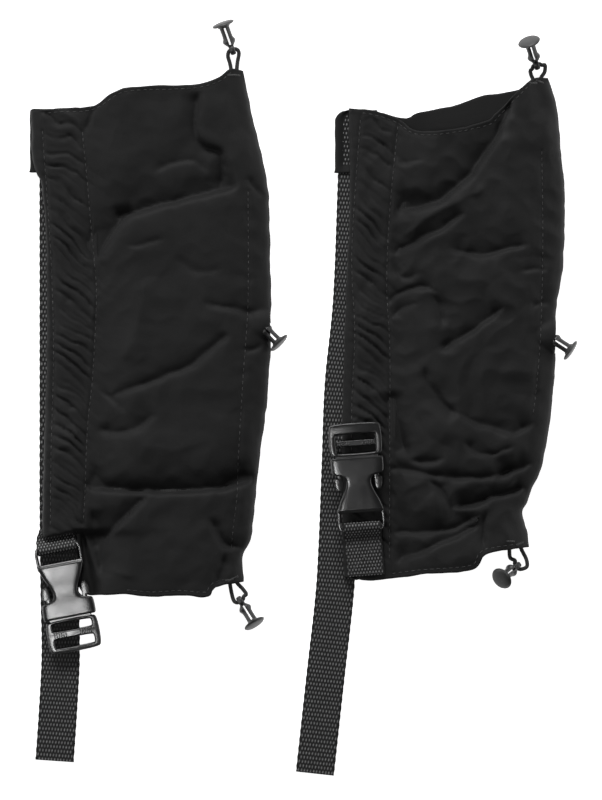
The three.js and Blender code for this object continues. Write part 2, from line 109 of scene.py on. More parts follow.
# ---- the two gaiters: outlines, routes and folds ---------------------------------------
LEFT = dict(
    eye=(122.2, 356.9),
    top=[(-8.2, 317), (10, 318.4), (32, 320), (52, 331), (85, 333), (100, 334), (113, 338),
         (121, 344), (129, 343)],
    right=[(129, 343), (134.6, 315), (143.7, 276), (146, 250), (147, 185), (145.6, 139),
           (138.5, 81), (134.6, 42), (129, 27), (129.4, 10)],
    bottom=[(-0.6, 39), (9, 40), (17.5, 42), (20.6, 38.5), (20.6, 24), (22.2, 8), (28, 1.4),
            (40, 2.2), (54, 2), (70, 0.7), (88, 1.6), (106.6, 0.7), (112, 7), (129.4, 10)],
    left=[(-8.2, 317), (-8, 300), (-7.4, 284), (-4.6, 276), (-1.4, 268), (1.3, 239), (2, 174),
          (0.6, 109), (-0.6, 64), (-0.6, 39)],
    strap=[(9.5, 314), (8.9, 270), (8.9, 200), (8.9, 120), (8.9, 60), (9.6, 0), (10.2, -38.3),
           (8.4, -75), (6.2, -107)],
    foot_lift=OVER_LOOP,
    tab=dict(fold=-9.8, start=277, end=318.5, corner=1.5),
    loop=22,
    loop_width=26.2,
    clear=3.5,
    sewn_aside=-7.0,
    sunk_bar=False,
    crumple=1.6,
    foot_from=190,
    plug_slots=((48.3, 53.4), (58.4, 64.4)),
    rows=dict(
        fold=[(-1.3, 305), (3.9, 226.2), (5.8, 163.1), (4.5, 98.1), (3.9, 44.2)],
        channel=[(24.7, 304.2), (27.9, 271.7), (30.5, 239.2), (33.8, 202.1), (33.1, 174.2),
                 (31.2, 141.7), (27.9, 109.2), (26.6, 70.2), (25.3, 47)],
        seam=[(132.6, 265.2), (132.6, 193.7), (129.3, 141.7), (126.1, 87.7), (125.4, 65.6),
              (122.8, 44.2), (121.5, 30)]),
    hooks=dict(
        top=[[(126.6, 354.6), (125.6, 348.6), (125.1, 343), (124.6, 334)],
             [(119.4, 352.6), (120.7, 348), (121.5, 343), (121.2, 334)]],
        middle=[[(140.6, 182.8), (137.6, 185.4), (133, 189), (129.6, 191.4)],
                [(135.6, 177.8), (133.2, 180.4), (129.4, 183.6), (126, 186)]],
        bottom=[[(131.4, 1.8), (129.2, 5.2), (125, 10), (123.6, 18)],
                [(122.9, -1.4), (121.8, 2.6), (120.8, 8.4), (120, 17.6)]]),
)
RIGHT = dict(
    eye=(124.8, 335.4),
    top=[(3.3, 307), (18, 305), (34, 300), (47, 292), (66, 292.5), (92, 298), (99, 304),
         (110, 315), (122, 326), (132, 327)],
    back_top=[(3.3, 307), (18, 305.5), (39, 300.5), (47, 304), (71, 309), (89, 315),
              (113, 319), (123, 326), (132, 327)],
    right=[(132, 327), (137.8, 309), (141, 277), (143, 253.5), (142.4, 208), (137.8, 177),
           (136.5, 136.5), (133.3, 101), (128, 75), (119, 52), (115.5, 43), (119, 30), (119.6, 21)],
    bottom=[(0, 1.3), (18, -0.7), (49.4, 3.3), (82.6, 6.5), (90, 15.6), (98, 18), (119.6, 21)],
    left=[(3.3, 307), (3.9, 247), (1.3, 182), (-0.6, 117), (-1.3, 65), (0, 1.3)],
    strap=[(9.5, 302), (7.8, 257), (4.6, 179), (-0.6, 127), (-2.6, 75), (-4.6, 23), (-6.5, -9),
           (-12.6, -64), (-19.5, -127)],
    foot_lift=OVER_STRAP,
    tab=dict(fold=-6.5, start=265, end=306, corner=8.0),
    loop=32,
    loop_width=25.0,
    clear=33,
    sewn_aside=0.0,
    sunk_bar=True,
    crumple=3.2,
    foot_from=34,
    plug_slots=((48.0, 52.6), (56.4, 60.6)),
    rows=dict(
        fold=[(10.5, 300), (9.8, 294.4), (4.6, 214.5), (6.5, 160.5), (4.6, 115.0), (4.2, 60)],
        channel=[(34.5, 296), (29.3, 240.5), (27.3, 193.0), (29.3, 149.5), (29.3, 100), (29, 12)],
        seam=[(128.1, 280.0), (128.7, 214.5), (127.4, 160.5), (124.8, 128.0), (122.2, 105)]),
    hooks=dict(
        top=[[(130.4, 335.4), (130.4, 331), (128, 327), (125.6, 318)],
             [(121, 331.6), (121.6, 328.6), (122.6, 326), (121.8, 318)]],
        middle=[[(131.6, 163.6), (128.2, 165.6), (122.8, 168.6), (118.8, 170.4)],
                [(127.4, 158.2), (124.6, 160.2), (119.4, 163.4), (115.6, 165.2)]],
        bottom=[[(118.7, 8.2), (118.6, 12.4), (114.8, 20.6), (113.6, 28)],
                [(108, 13.8), (107.4, 17.4), (107.6, 22), (107.9, 28.4)]]),
)
GAITERS = dict(left=LEFT, right=RIGHT)

# A crease: depth, reach above the line, reach under it, lip under it, points. Seen along
# the line from its first point, above is the left hand. A negative depth is a ridge.
LEFT["creases"] = [
    (4.6, 13, 2.2, 1.4, [(31, 219), (41.6, 233), (52.6, 247), (75.4, 255.4), (101.4, 261.9),
                         (128, 268.5)]),
    (2.6, 6, 4, 0.4, [(44, 246), (52, 249), (60, 250.5)]),
    (3.0, 9, 2.2, 1.0, [(115.7, 262), (115.5, 288), (104, 294), (98.1, 306), (101.4, 331)]),
    (1.5, 6, 2.5, 0.5, [(68.9, 276.9), (85.1, 282.7), (98.1, 283.4), (107.9, 274.9)]),
    (2.0, 2.2, 2.2, 0.4, [(131.5, 274), (136, 268), (143, 258.5)]),
    (1.0, 2.5, 1.6, 0.4, [(52, 228), (66, 230), (80, 233.6)]),
    (-1.5, 9, 5, 0, [(68, 210), (61, 180), (50, 152)]),
    (2.2, 5.5, 2.6, 0.7, [(42, 131), (68.9, 139.7), (94.9, 151.4), (122, 173)]),
    (1.6, 3.5, 1.8, 0.5, [(33.1, 136), (46, 128), (54, 118.5)]),
    (2.2, 6.5, 2.2, 0.9, [(33, 110), (44, 107), (58, 109.5), (74, 120)]),
    (2.0, 4.5, 1.8, 0.6, [(102, 191), (124.1, 187.2), (145, 181.5)]),
    (1.5, 3, 1.8, 0.5, [(128, 162.5), (135, 160.8), (144, 166)]),
    (5.0, 9.5, 1.8, 1.6, [(24, 74), (40, 71), (70, 69.5), (101.4, 69.8), (120, 72), (139, 77.5)]),
    (3.0, 5, 2.6, 0.8, [(112, 71), (124, 75), (138.5, 81)]),
    (3.0, 8, 1.6, 1.2, [(30, 30), (49.4, 49.4), (69.5, 68)]),
    (2.8, 6, 5, 0, [(31, 58), (33, 46), (36, 30), (38, 12)]),
    (2.6, 5, 2.2, 0.9, [(108.5, 54), (114, 38), (122, 32.5), (136, 32)]),
    (2.8, 5, 3, 0.5, [(119, 31), (114, 18), (111.5, 4)]),
    (-1.2, 4, 3.5, 0, [(33.1, 19), (49.4, 17), (63, 11)]),
    (1.6, 4, 2, 0.6, [(24, 300), (28, 308), (34, 319)]),
    (-0.9, 8, 5, 0, [(60, 100), (84, 96), (110, 104)]),
    (0.9, 7, 4, 0.3, [(84, 222), (100, 212), (118, 214)]),
]
LEFT["swells"] = [(46, 283, 17, 15, 2.4), (88, 308, 16, 12, 1.0), (97, 232, 30, 16, 1.0),
                  (66, 92, 28, 15, 1.2), (84, 34, 24, 20, 1.5), (124, 108, 14, 22, 0.8)]
RIGHT["creases"] = [
    (5.0, 13, 2.4, 1.6, [(31, 241), (55.3, 243.7), (78.0, 260.0), (87.8, 273.0), (100.8, 292.5),
                         (110, 316)]),
    (1.3, 3, 1.6, 0.4, [(33, 272), (42, 271), (52, 274)]),
    (-1.8, 5, 3.5, 0, [(35.8, 221), (61.8, 240), (94.3, 256)]),
    (3.0, 6.5, 2.2, 1.0, [(28.5, 211.2), (55.3, 224.2), (79.0, 239.5)]),
    (2.3, 6.5, 2.2, 0.8, [(66, 216), (78, 212.6), (91.0, 211.2), (107.3, 216.2), (121, 217)]),
    (1.6, 3.5, 1.8, 0.5, [(112, 199.8), (121, 202), (135, 201)]),
    (2.0, 3.2, 2.2, 0.9, [(26.0, 177), (35.8, 185.3), (48.8, 190.5), (62.8, 186)]),
    (1.4, 2.6, 1.8, 0.6, [(28.0, 168), (37.8, 176.3), (50, 181)]),
    (2.6, 7, 2.2, 0.9, [(58.5, 147.4), (81.3, 160.5), (104, 178.5)]),
    (2.6, 2.6, 7, 0.3, [(62.8, 162), (61.4, 176), (57, 188)]),
    (1.4, 3, 1.8, 0.4, [(119, 176), (127, 179.4), (136, 178.8)]),
    (2.6, 2.2, 7, 0, [(50, 140), (60, 121), (68.3, 110.5), (76, 106)]),
    (2.6, 8, 2.4, 1.0, [(72, 108), (88, 101), (103, 97), (112, 96.4), (125, 102.5)]),
    (4.2, 4.5, 9, 0.8, [(31, 124), (33.5, 98), (43.3, 79)]),
    (2.6, 5, 2, 0.8, [(41, 79), (53, 76), (67, 79)]),
    (2.6, 5, 2.4, 1.0, [(26.0, 73.4), (42, 71), (55.3, 68.6), (81.3, 66.0), (100, 68),
                        (114, 72.5)]),
    (2.2, 3, 4, 0.4, [(52.0, 66.0), (63, 58), (71.5, 39.0)]),
    (4.0, 6, 1.7, 1.4, [(68, 46.5), (84, 49), (100.8, 55.2), (121, 58.8)]),
    (3.0, 6, 2, 0.8, [(96, 66), (108, 70), (124, 76)]),
    (2.4, 6, 2.4, 0.8, [(29.3, 31), (48, 30.5), (68.3, 32.5), (89, 43)]),
    (2.8, 8, 1.8, 1.0, [(31, 11), (48, 18), (68.3, 26.0), (89.5, 36.5)]),
    (2.6, 5, 3, 0.6, [(89.5, 18), (91, 32), (91.4, 46.5)]),
    (-1.6, 5, 4, 0, [(36, 54), (46, 62), (52, 64)]),
    (1.8, 5, 2.2, 0.6, [(76, 92), (84, 84), (96, 81), (112, 88)]),
    (1.4, 4, 2.2, 0.4, [(30, 205), (38, 196), (52, 200)]),
]
RIGHT["swells"] = [(50, 262, 22, 18, 2.2), (104, 236, 22, 12, 1.4), (92, 192, 20, 13, 1.6),
                   (96, 134, 24, 22, 1.8), (62, 96, 15, 10, 1.6), (108, 84, 12, 6, 1.6),
                   (52, 50, 14, 8, 1.8), (74, 14, 18, 8, 1.2), (104, 34, 8, 14, 1.4)]


# ---- small maths -----------------------------------------------------------------------
def ease(start, end, value):
    t = np.clip((value - start) / (end - start), 0, 1)
    return t * t * (3 - 2 * t)


def catmull(points, per=24, power=0.0):
    """Dense Catmull-Rom line through points; power 0.5 is the centripetal one."""
    pts = np.array(points, float)
    ends = [2 * pts[0] - pts[1]], [2 * pts[-1] - pts[-2]]
    pts = np.concatenate([ends[0], pts, ends[1]])
    out = []
    for a, b, c, d in zip(pts, pts[1:], pts[2:], pts[3:]):
        gaps = [max(np.linalg.norm(q - p) ** power, 1e-6) for p, q in ((a, b), (b, c), (c, d))]
        t0, t1, t2, t3 = 0, gaps[0], gaps[0] + gaps[1], sum(gaps)
        t = np.linspace(t1, t2, per, endpoint=False)[:, None]
        ab, bc, cd = (((q1 - t) * p + (t - q0) * q) / (q1 - q0)
                      for p, q, q0, q1 in ((a, b, t0, t1), (b, c, t1, t2), (c, d, t2, t3)))
        abc = ((t2 - t) * ab + (t - t0) * bc) / (t2 - t0)
        bcd = ((t3 - t) * bc + (t - t1) * cd) / (t3 - t1)
        out.append(((t2 - t) * abc + (t - t1) * bcd) / (t2 - t1))
    return np.concatenate([*out, pts[-2:-1]])


def lengths(line):
    return np.concatenate([[0], np.cumsum(np.linalg.norm(np.diff(line, axis=0), axis=1))])


def along(line, t):
    """Points at shares t of a line's length."""
    s = lengths(line)
    at = np.asarray(t) * s[-1]
    return np.stack([np.interp(at, s, column) for column in line.T], -1)


def inset(line, distance):
    """The line moved sideways, to its left hand."""
    heading = np.gradient(line, axis=0)
    heading /= np.linalg.norm(heading, axis=1)[:, None]
    return line + distance * np.stack([-heading[:, 1], heading[:, 0]], -1)


def nearest(xy, line):
    """Distance, share along and side (+1 on the left hand) of the nearest point of a line."""
    best = np.full(len(xy), 1e9)
    share, side = np.zeros(len(xy)), np.ones(len(xy))
    s = lengths(line)
    for i, (p, q) in enumerate(zip(line, line[1:])):
        d = q - p
        k = np.clip(((xy - p) @ d) / max(d @ d, 1e-12), 0, 1)
        off = xy - p - k[:, None] * d
        r = np.hypot(off[:, 0], off[:, 1])
        near = r < best
        best = np.where(near, r, best)
        share = np.where(near, (s[i] + k * (s[i + 1] - s[i])) / s[-1], share)
        side = np.where(near, np.sign(d[0] * off[:, 1] - d[1] * off[:, 0]) + 0.0, side)
    return best, share, side


def ripple(xy, size, seed):
    """Smooth noise, about -1 to 1, with lumps of that size in millimetres."""
    return np.array([noise.noise(Vector((x / size, y / size, seed))) for x, y in xy])


def origin_of(side):
    """A gaiter's own origin in the row frame, in metres, from its top hook's eye."""
    eye = JOINTS[f"{side}_hook_top_tilt"]["pos_m"]
    ex, ey = GAITERS[side]["eye"]
    return Vector((eye[0] - ex * MM, eye[1] - ey * MM, 0))


def buckle_matrix(side):
    """From the buckle's own millimetres, with its bar at the origin and +y to the plug."""
    fold, slide = JOINTS[f"{side}_buckle_fold"], JOINTS[f"{side}_buckle_release"]
    x, y = Vector(fold["axis"]).normalized(), Vector(slide["axis"]).normalized()
    turn = Matrix((x, y, x.cross(y))).transposed().to_4x4()
    return Matrix.Translation(fold["pos_m"]) @ turn @ Matrix.Scale(MM, 4)


# ---- camera ----------------------------------------------------------------------------
def add_camera(distance=2.4, around=1.0547, aside=0.0013, sensor=24):
    """Straight down on the pair, with the photo's small margins."""
    (x0, y0, _), (x1, y1, z1) = cad_box
    camera = bpy.data.objects.new("camera", bpy.data.cameras.new("camera"))
    bpy.context.collection.objects.link(camera)
    camera.location = ((x0 + x1) / 2 - aside, (y0 + y1) / 2 - aside, distance)
    camera.data.sensor_fit = "VERTICAL"
    camera.data.sensor_height = sensor
    camera.data.lens = sensor * (distance - z1 / 2) / ((y1 - y0) * around)
    camera.data.clip_end = 20
    bpy.context.scene.camera = camera


add_camera()


# ---- materials -------------------------------------------------------------------------
def node(tree, kind, inputs=(), **settings):
    made = tree.nodes.new(kind)
    for key, value in settings.items():
        setattr(made, key, value)
    for key, value in dict(inputs).items():
        if isinstance(value, bpy.types.NodeSocket):
            tree.links.new(value, made.inputs[key])
        else:
            made.inputs[key].default_value = value
    return made


def shader(name, **values):
    """A material, its nodes, its main shader and the piece's own coordinates."""
    material = bpy.data.materials.new(name)
    material.use_nodes = True
    tree = material.node_tree
    bsdf = tree.nodes["Principled BSDF"]
    for key, value in values.items():
        bsdf.inputs[key.replace("_", " ")].default_value = value
    return material, tree, bsdf, node(tree, "ShaderNodeTexCoord").outputs["Object"]


def speckle(tree, at, scale, detail=2, roughness=0.5):
    inputs = {"Vector": at, "Scale": scale, "Detail": detail, "Roughness": roughness}
    return node(tree, "ShaderNodeTexNoise", inputs).outputs["Fac"]


def waves(tree, at, pitch, direction):
    """Bands a pitch apart, in millimetres."""
    inputs = {"Vector": at, "Scale": 2 * math.pi / 20 / (pitch * MM)}
    made = node(tree, "ShaderNodeTexWave", inputs, wave_type="BANDS", bands_direction=direction)
    return made.outputs["Fac"]


def product(tree, a, b):
    return node(tree, "ShaderNodeMath", {0: a, 1: b}, operation="MULTIPLY").outputs[0]


def remap(tree, value, low, high, start=0.0, end=1.0):
    inputs = {"Value": value, "From Min": start, "From Max": end, "To Min": low, "To Max": high}
    return node(tree, "ShaderNodeMapRange", inputs).outputs["Result"]


def colour(tree, bsdf, factor, dark, light):
    ramp = node(tree, "ShaderNodeValToRGB", {"Fac": factor})
    for element, shade in zip(ramp.color_ramp.elements, (dark, light)):
        element.color = (*shade, 1)
    tree.links.new(ramp.outputs["Color"], bsdf.inputs["Base Color"])


def roughen(tree, bsdf, factor, low, high):
    tree.links.new(remap(tree, factor, low, high), bsdf.inputs["Roughness"])


def bump(tree, bsdf, height, strength, depth, under=None):
    """Relief of a depth in millimetres, over any relief given as under."""
    inputs = {"Height": height, "Strength": strength, "Distance": depth * MM}
    if under is not None:
        inputs["Normal"] = under
    made = node(tree, "ShaderNodeBump", inputs)
    tree.links.new(made.outputs["Normal"], bsdf.inputs["Normal"])
    return made.outputs["Normal"]


def nylon_material():
    """Plain-weave nylon with a soft sheen."""
    material, tree, bsdf, at = shader("nylon", Sheen_Weight=0.06, Sheen_Roughness=0.5,
                                      Specular_IOR_Level=0.17)
    cloudy = speckle(tree, at, 38, 3)
    colour(tree, bsdf, cloudy, (0.0125, 0.0125, 0.0127), (0.0175, 0.0175, 0.0176))
    roughen(tree, bsdf, cloudy, 0.58, 0.72)
    threads = product(tree, waves(tree, at, 0.42, "X"), waves(tree, at, 0.42, "Y"))
    crumple = bump(tree, bsdf, speckle(tree, at, 210), 0.35, 0.5)
    bump(tree, bsdf, threads, 0.35, 0.06, crumple)
    return material


def webbing_material():
    """Woven polyester: the crowns of the yarns carry a painted highlight, coloured lighter where
    they catch the light.
    """
    material, tree, bsdf, at = shader("webbing", Sheen_Weight=0.06, Sheen_Roughness=0.5,
                                      Specular_IOR_Level=0.25)
    crown = node(tree, "ShaderNodeAttribute", attribute_name="crown").outputs["Fac"]
    speck = speckle(tree, at, 900)
    # Painted highlight: the yarn crowns go from the black base towards near-white.
    colour(tree, bsdf, product(tree, crown, speck), (0.006, 0.006, 0.0062), (0.8, 0.8, 0.805))
    roughen(tree, bsdf, speck, 0.55, 0.8)
    bump(tree, bsdf, speck, 0.5, 0.15)
    return material


def plastic_material(name, dark, light, roughness):
    """Satin moulded plastic with faint mould texture and scuffs, and a painted rim highlight on its
    convex edges.
    """
    material, tree, bsdf, at = shader(name, Specular_IOR_Level=0.5)
    scuff = speckle(tree, at, 120, 5, 0.7)
    edge = node(tree, "ShaderNodeNewGeometry").outputs["Pointiness"]
    # Painted highlight: convex edges are coloured lighter, broken up by the scuff noise.
    rim_highlight = product(tree, remap(tree, edge, 0, 1, 0.5, 0.62), scuff)
    colour(tree, bsdf, rim_highlight, (dark, dark, dark + 0.0005), (light, light, light))
    roughen(tree, bsdf, scuff, roughness - 0.07, roughness + 0.12)
    bump(tree, bsdf, speckle(tree, at, 1600), 0.25, 0.05)
    return material


def yarn_material(name, bands, dark, light, strength, depth, speck=0, **values):
    """Braided, knitted or twisted yarn; bands are pitches in millimetres and directions. The colour
    follows the bands: painted highlight on the yarn crests and painted shade in the grooves.
    """
    material, tree, bsdf, at = shader(name, **values)
    pattern = waves(tree, at, *bands[0])
    for band in bands[1:]:
        pattern = product(tree, pattern, waves(tree, at, *band))
    # Painted highlight and shade: lighter on the crests of the bands and darker between them, with
    # random speckle where speck is given.
    crest_light_and_shade = product(tree, pattern, speckle(tree, at, speck)) if speck else pattern
    colour(tree, bsdf, crest_light_and_shade, (dark, dark, dark), (light, light, light))
    bump(tree, bsdf, pattern, strength, depth)
    return material


NYLON = nylon_material()
WEBBING = webbing_material()
# Each plastic: base shade, painted rim-highlight shade and roughness.
ACETAL = plastic_material("acetal", 0.016, 0.12, 0.2)
HOOK_PLASTIC = plastic_material("hook_plastic", 0.026, 0.13, 0.4)
CORD = yarn_material("shock_cord", [(0.9, "DIAGONAL"), (0.7, "Y")], 0.01, 0.06, 0.6, 0.25, 700,
                     Sheen_Weight=0.2, Roughness=0.7, Specular_IOR_Level=0.4)
ELASTIC = yarn_material("elastic", [(1.1, "X"), (0.6, "Y")], 0.008, 0.03, 0.6, 0.3,
                        Sheen_Weight=0.15, Roughness=0.8, Specular_IOR_Level=0.35)
THREAD_BLACK = yarn_material("thread", [(0.35, "DIAGONAL")], 0.02, 0.085, 0.5, 0.1,
                             Roughness=0.5, Sheen_Weight=0.2)


# ---- making meshes ---------------------------------------------------------------------
def add_mesh(name, points, faces, material, slot):
    """points in metres, in the row frame."""
    mesh = bpy.data.meshes.new(name)
    mesh.from_pydata([tuple(p) for p in points], [], faces)
    mesh.validate()
    mesh.polygons.foreach_set("use_smooth", [True] * len(mesh.polygons))
    mesh.materials.append(material)
    made = bpy.data.objects.new(name, mesh)
    bpy.context.collection.objects.link(made)
    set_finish(made, slot)
    return made


def ring_faces(rings, around, loop=False):
    """Quads between rings of points that are stored one after another."""
    faces = []
    for i in range(rings if loop else rings - 1):
        here, there = i * around, (i + 1) % rings * around
        for k in range(around):
            after = (k + 1) % around
            faces.append((here + k, here + after, there + after, there + k))
    return faces


def capped(rings, around):
    faces = ring_faces(rings, around)
    faces.append(tuple(range(around))[::-1])
    faces.append(tuple(range((rings - 1) * around, rings * around)))
    return faces


def outward(made):
    """Turns a closed mesh's faces outward."""
    bm = bmesh.new()
    bm.from_mesh(made.data)
    bmesh.ops.recalc_face_normals(bm, faces=bm.faces)
    bm.to_mesh(made.data)
    bm.free()
    return made


def apply_modifiers(made):
    graph = bpy.context.evaluated_depsgraph_get()
    mesh = bpy.data.meshes.new_from_object(made.evaluated_get(graph))
    made.modifiers.clear()
    made.data = mesh
    return made


def tube(name, centre, radius, material, slot, around=14):
    """A round tube along points in metres, with rounded ends."""
    centre = np.array(centre, float)
    heading = np.gradient(centre, axis=0)
    heading /= np.linalg.norm(heading, axis=1)[:, None]
    up = np.array([0.0, 0.0, 1.0])
    rings = []
    for i, (spot, head) in enumerate(zip(centre, heading)):
        side = np.cross(head, up)
        side /= np.linalg.norm(side)
        normal = np.cross(side, head)
        end = min(i, len(centre) - 1 - i)
        size = radius * (0.55, 0.85, 1.0)[min(end, 2)]
        turn = np.linspace(0, 2 * np.pi, around, endpoint=False)
        rings.append(spot + size * (np.cos(turn)[:, None] * side + np.sin(turn)[:, None] * normal))
    made = add_mesh(name, np.concatenate(rings), capped(len(rings), around), material, slot)
    return outward(made)


# ---- elastic cords ---------------------------------------------------------------------
def hook_axes(side, name):
    """Eye, sideways axis and heading of a hook, from its joint and its CAD node."""
    joint = JOINTS[f"{side}_hook_{name}_tilt"]
    eye, across = Vector(joint["pos_m"]), Vector(joint["axis"]).normalized()
    spots = [v.co for v in frame["nodes"][f"{side}_hook_{name}"].data.vertices]
    far = max((p - eye).length for p in spots) - 1.2 * MM
    rim = [p for p in spots if (p - eye).length > far]
    heading = sum(rim, Vector()) / len(rim) - eye
    heading = (heading - across * heading.dot(across)).normalized()
    if across.cross(heading).z < 0:
        across.negate()
    return eye, across, heading


def loop_route(side, name):
    """The cord's centreline: out of the hem, through the hook's eye and back, in metres."""
    origin = origin_of(side)
    eye, across, heading = hook_axes(side, name)
    flat = Vector((heading.x, heading.y, 0)).normalized()
    inside = 2.8
    span, turn, reach = 3.4, 2.1, -1.6
    bend = [eye + (across * x + flat * y) * MM
            for x, y in ((span, reach), (turn, -0.2), (0, 0), (-turn, -0.2), (-span, reach))]
    strands = []
    for strand in GAITERS[side]["hooks"][name]:
        rise = (eye.z / MM + inside) / 2
        strands.append([origin + Vector((x, y, rise if i == 0 else inside)) * MM
                        for i, (x, y) in enumerate(strand)])
    strands.sort(key=lambda strand: (strand[0] - bend[0]).length)
    points = [*reversed(strands[0]), *bend, *strands[1]]
    return along(catmull(points, 12, 0.5), np.linspace(0, 1, 70)), strands


def add_cords():
    for side in SIDES:
        for name in ("top", "middle", "bottom"):
            route, _ = loop_route(side, name)
            cord = tube(f"{side}_cord_{name}", route, CORD_RADIUS * MM, CORD, "shock_cord")
            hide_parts(f"{side}_loop_{name}")
            if name == "middle":
                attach(cord, f"{side}_sleeve")
            else:
                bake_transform(cord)


add_cords()


# ---- the sleeves -----------------------------------------------------------------------
class Sleeve:
    """One gaiter's two layers of nylon, as heights over a plan."""

    def __init__(self, side):
        self.side, self.spec = side, GAITERS[side]
        self.origin = origin_of(side)
        self.lines = {key: catmull(self.spec[key]) for key in ("top", "bottom", "left", "right")}
        self.lines["back_top"] = catmull(self.spec.get("back_top", self.spec["top"]))
        self.rows = {key: catmull(points) for key, points in self.spec["rows"].items()}
        self.rows["hem_top"] = inset(self.lines["top"], -HEM_TOP)[12:-8]
        self.rows["hem_bottom"] = inset(self.lines["bottom"], HEM_FOOT)[self.spec["foot_from"]:-8]
        self.strands = [np.array([(p.x, p.y) for p in strand])
                        for name in self.spec["hooks"] for strand in self._strands(name)]

    def _strands(self, name):
        _, strands = loop_route(self.side, name)
        return [[(p - self.origin) / MM for p in strand] for strand in strands]

    def plan(self, u, v, top):
        """A grid of plan points, blended between the four edges: u across, v down."""
        top, bottom = along(self.lines[top], u), along(self.lines["bottom"], u)
        left, right = along(self.lines["left"], v), along(self.lines["right"], v)
        uu, vv = u[:, None, None], v[None, :, None]
        rails = top[:, None] * (1 - vv) + bottom[:, None] * vv
        rails = rails + left[None] * (1 - uu) + right[None] * uu
        head, foot = (self.lines[key][[0, -1]] for key in ("top", "bottom"))
        upper, lower = (ends[0] * (1 - uu) + ends[1] * uu for ends in (head, foot))
        return rails - (upper * (1 - vv) + lower * vv)

    def lift(self, v):
        rise = OVER_STRAP + (OVER_TAB - OVER_STRAP) * (1 - ease(0.22, 0.4, v))
        return rise + (self.spec["foot_lift"] - OVER_STRAP) * ease(0.7, 0.8, v)

    def across(self, xy):
        """Distances from the fold and from the seam, and the share across between them."""
        fold, _, _ = nearest(xy, self.lines["left"])
        seam, _, _ = nearest(xy, self.lines["right"])
        return fold, seam, fold / (fold + seam + 1e-6)

    def back_height(self, xy, v):
        _, _, share = self.across(xy)
        return self.lift(v) * (1 - ease(0.24, 0.38, share)) * (1 - self.beside_foot(xy))

    def beside_foot(self, xy):
        """1 where the cloth lies on the floor beside the strap's foot, and 0 elsewhere."""
        if self.spec["foot_lift"] == OVER_STRAP:
            return np.zeros(len(xy))
        return ease(46, 39, xy[:, 1]) * ease(21.6, 24.4, xy[:, 0])

    def pleats(self, xy):
        """Gathers of the channel, between its two stitch rows and fading beyond them."""
        to_fold, _, side_fold = nearest(xy, self.rows["fold"])
        to_row, _, side_row = nearest(xy, self.rows["channel"])
        into, past = to_fold * side_fold, to_row * side_row
        inside = (into > 0) & (past < 0)
        share = np.clip(to_fold / (to_fold + to_row + 1e-6), 0, 1)
        x, y = xy[:, 0], xy[:, 1]
        slope = 0.45 + 0.4 * ease(290, 200, y)
        wander = ripple(xy, 17, 3.3) * 5.0 + ripple(xy, 60, 8.1) * 8 + ripple(xy, 7, 9.1) * 1.2
        phase = (y + slope * x + wander) / PLEAT_PITCH
        major = 0.7 - np.abs(np.sin(np.pi * phase)) ** 0.42
        fine = 0.6 - np.abs(np.sin(np.pi * (phase * 2.17 + 0.3))) ** 0.5
        uneven = np.clip(0.72 + 1.1 * ripple(xy, 15, 12.7), 0.12, 1.5)
        bell = np.where(inside, 0.35 + 0.9 * np.sin(np.pi * share) ** 0.8, 0.35)
        fade = np.where(inside, 1, np.where(into <= 0, np.exp(-to_fold / 7), np.exp(-to_row / 6.5)))
        small = 0.55 * fine * (1.3 - uneven).clip(0.2, 1)
        return -(PLEAT_HEIGHT * major * uneven + small) * bell * fade

    def seams(self, xy):
        """Grooves that the stitch rows pull in."""
        drop = np.zeros(len(xy))
        for key, row in self.rows.items():
            r, share, _ = nearest(xy, row)
            ends = np.minimum(share, 1 - share) > 1e-4
            deep = 0.3 if key.startswith("hem") else 0.65
            drop -= np.where(ends, deep * np.exp(-((r / 1.1) ** 2)), 0)
        return drop

    def puckers(self, xy):
        """Small drags beside the seam row."""
        r, _, _ = nearest(xy, self.rows["seam"])
        fine = ripple(xy * (0.5, 1.0), 5.5, 21.0)
        return 0.5 * fine * np.exp(-r / 5)

    def creases(self, xy):
        height = np.zeros(len(xy))
        for depth, above, under, lip, points in self.spec["creases"]:
            line = catmull(points, 6)
            r, share, side = nearest(xy + 1.1 * self.wobble, line)
            s = lengths(line)[-1]
            fade = ease(0, min(0.35, 9 / s), share) * ease(0, min(0.35, 9 / s), 1 - share)
            reach = np.where(side > 0, 0.88 * above, under * TUCK)
            shape = np.exp(-np.sqrt((r / reach) ** 2 + 0.02) + math.sqrt(0.02))
            swell = np.where(side < 0, r / (4 * under) * np.exp(1 - r / (4 * under)), 0)
            height += fade * (0.5 * lip * swell - np.where(depth > 0, 1.55, 0.9) * depth * shape)
        for x, y, wide, tall, rise in self.spec["swells"]:
            height += rise * np.exp(-((xy[:, 0] - x) / wide) ** 2 - ((xy[:, 1] - y) / tall) ** 2)
        return height

    def front_height(self, xy, v):
        fold, seam, share = self.across(xy)
        self.wobble = np.stack([ripple(xy, 9, 5.5), ripple(xy, 9, 6.5)], -1)
        over = self.lift(v) * (1 - ease(0.146, 0.6, share)) * (1 - self.beside_foot(xy))
        rise = CHANNEL_RISE * np.sqrt(np.minimum(1, fold / 9)) + CROWN_RISE * ease(26, 60, fold)
        fall = np.sqrt(np.clip(1 - np.clip(1 - seam / 42, 0, 1) ** 2, 0, 1))
        calm = ease(0, 14, fold) * ease(0, 10, seam)
        facets = np.abs(ripple(xy, 30, 51)) - 0.6 * np.abs(ripple(xy, 15, 53))
        loose = self.spec["crumple"] * facets
        for size, rough, seed in ((46, 0.9, 1.5), (19, 0.4, 2.5), (7, 0.14, 4.5)):
            loose += rough * ripple(xy, size, seed)
        height = PANEL_BASE + over + rise * fall
        height = height + self.creases(xy) * (0.3 + 0.7 * calm) + loose * calm
        height += self.pleats(xy) + self.seams(xy) + self.puckers(xy)
        return self.cover(xy, height, v)

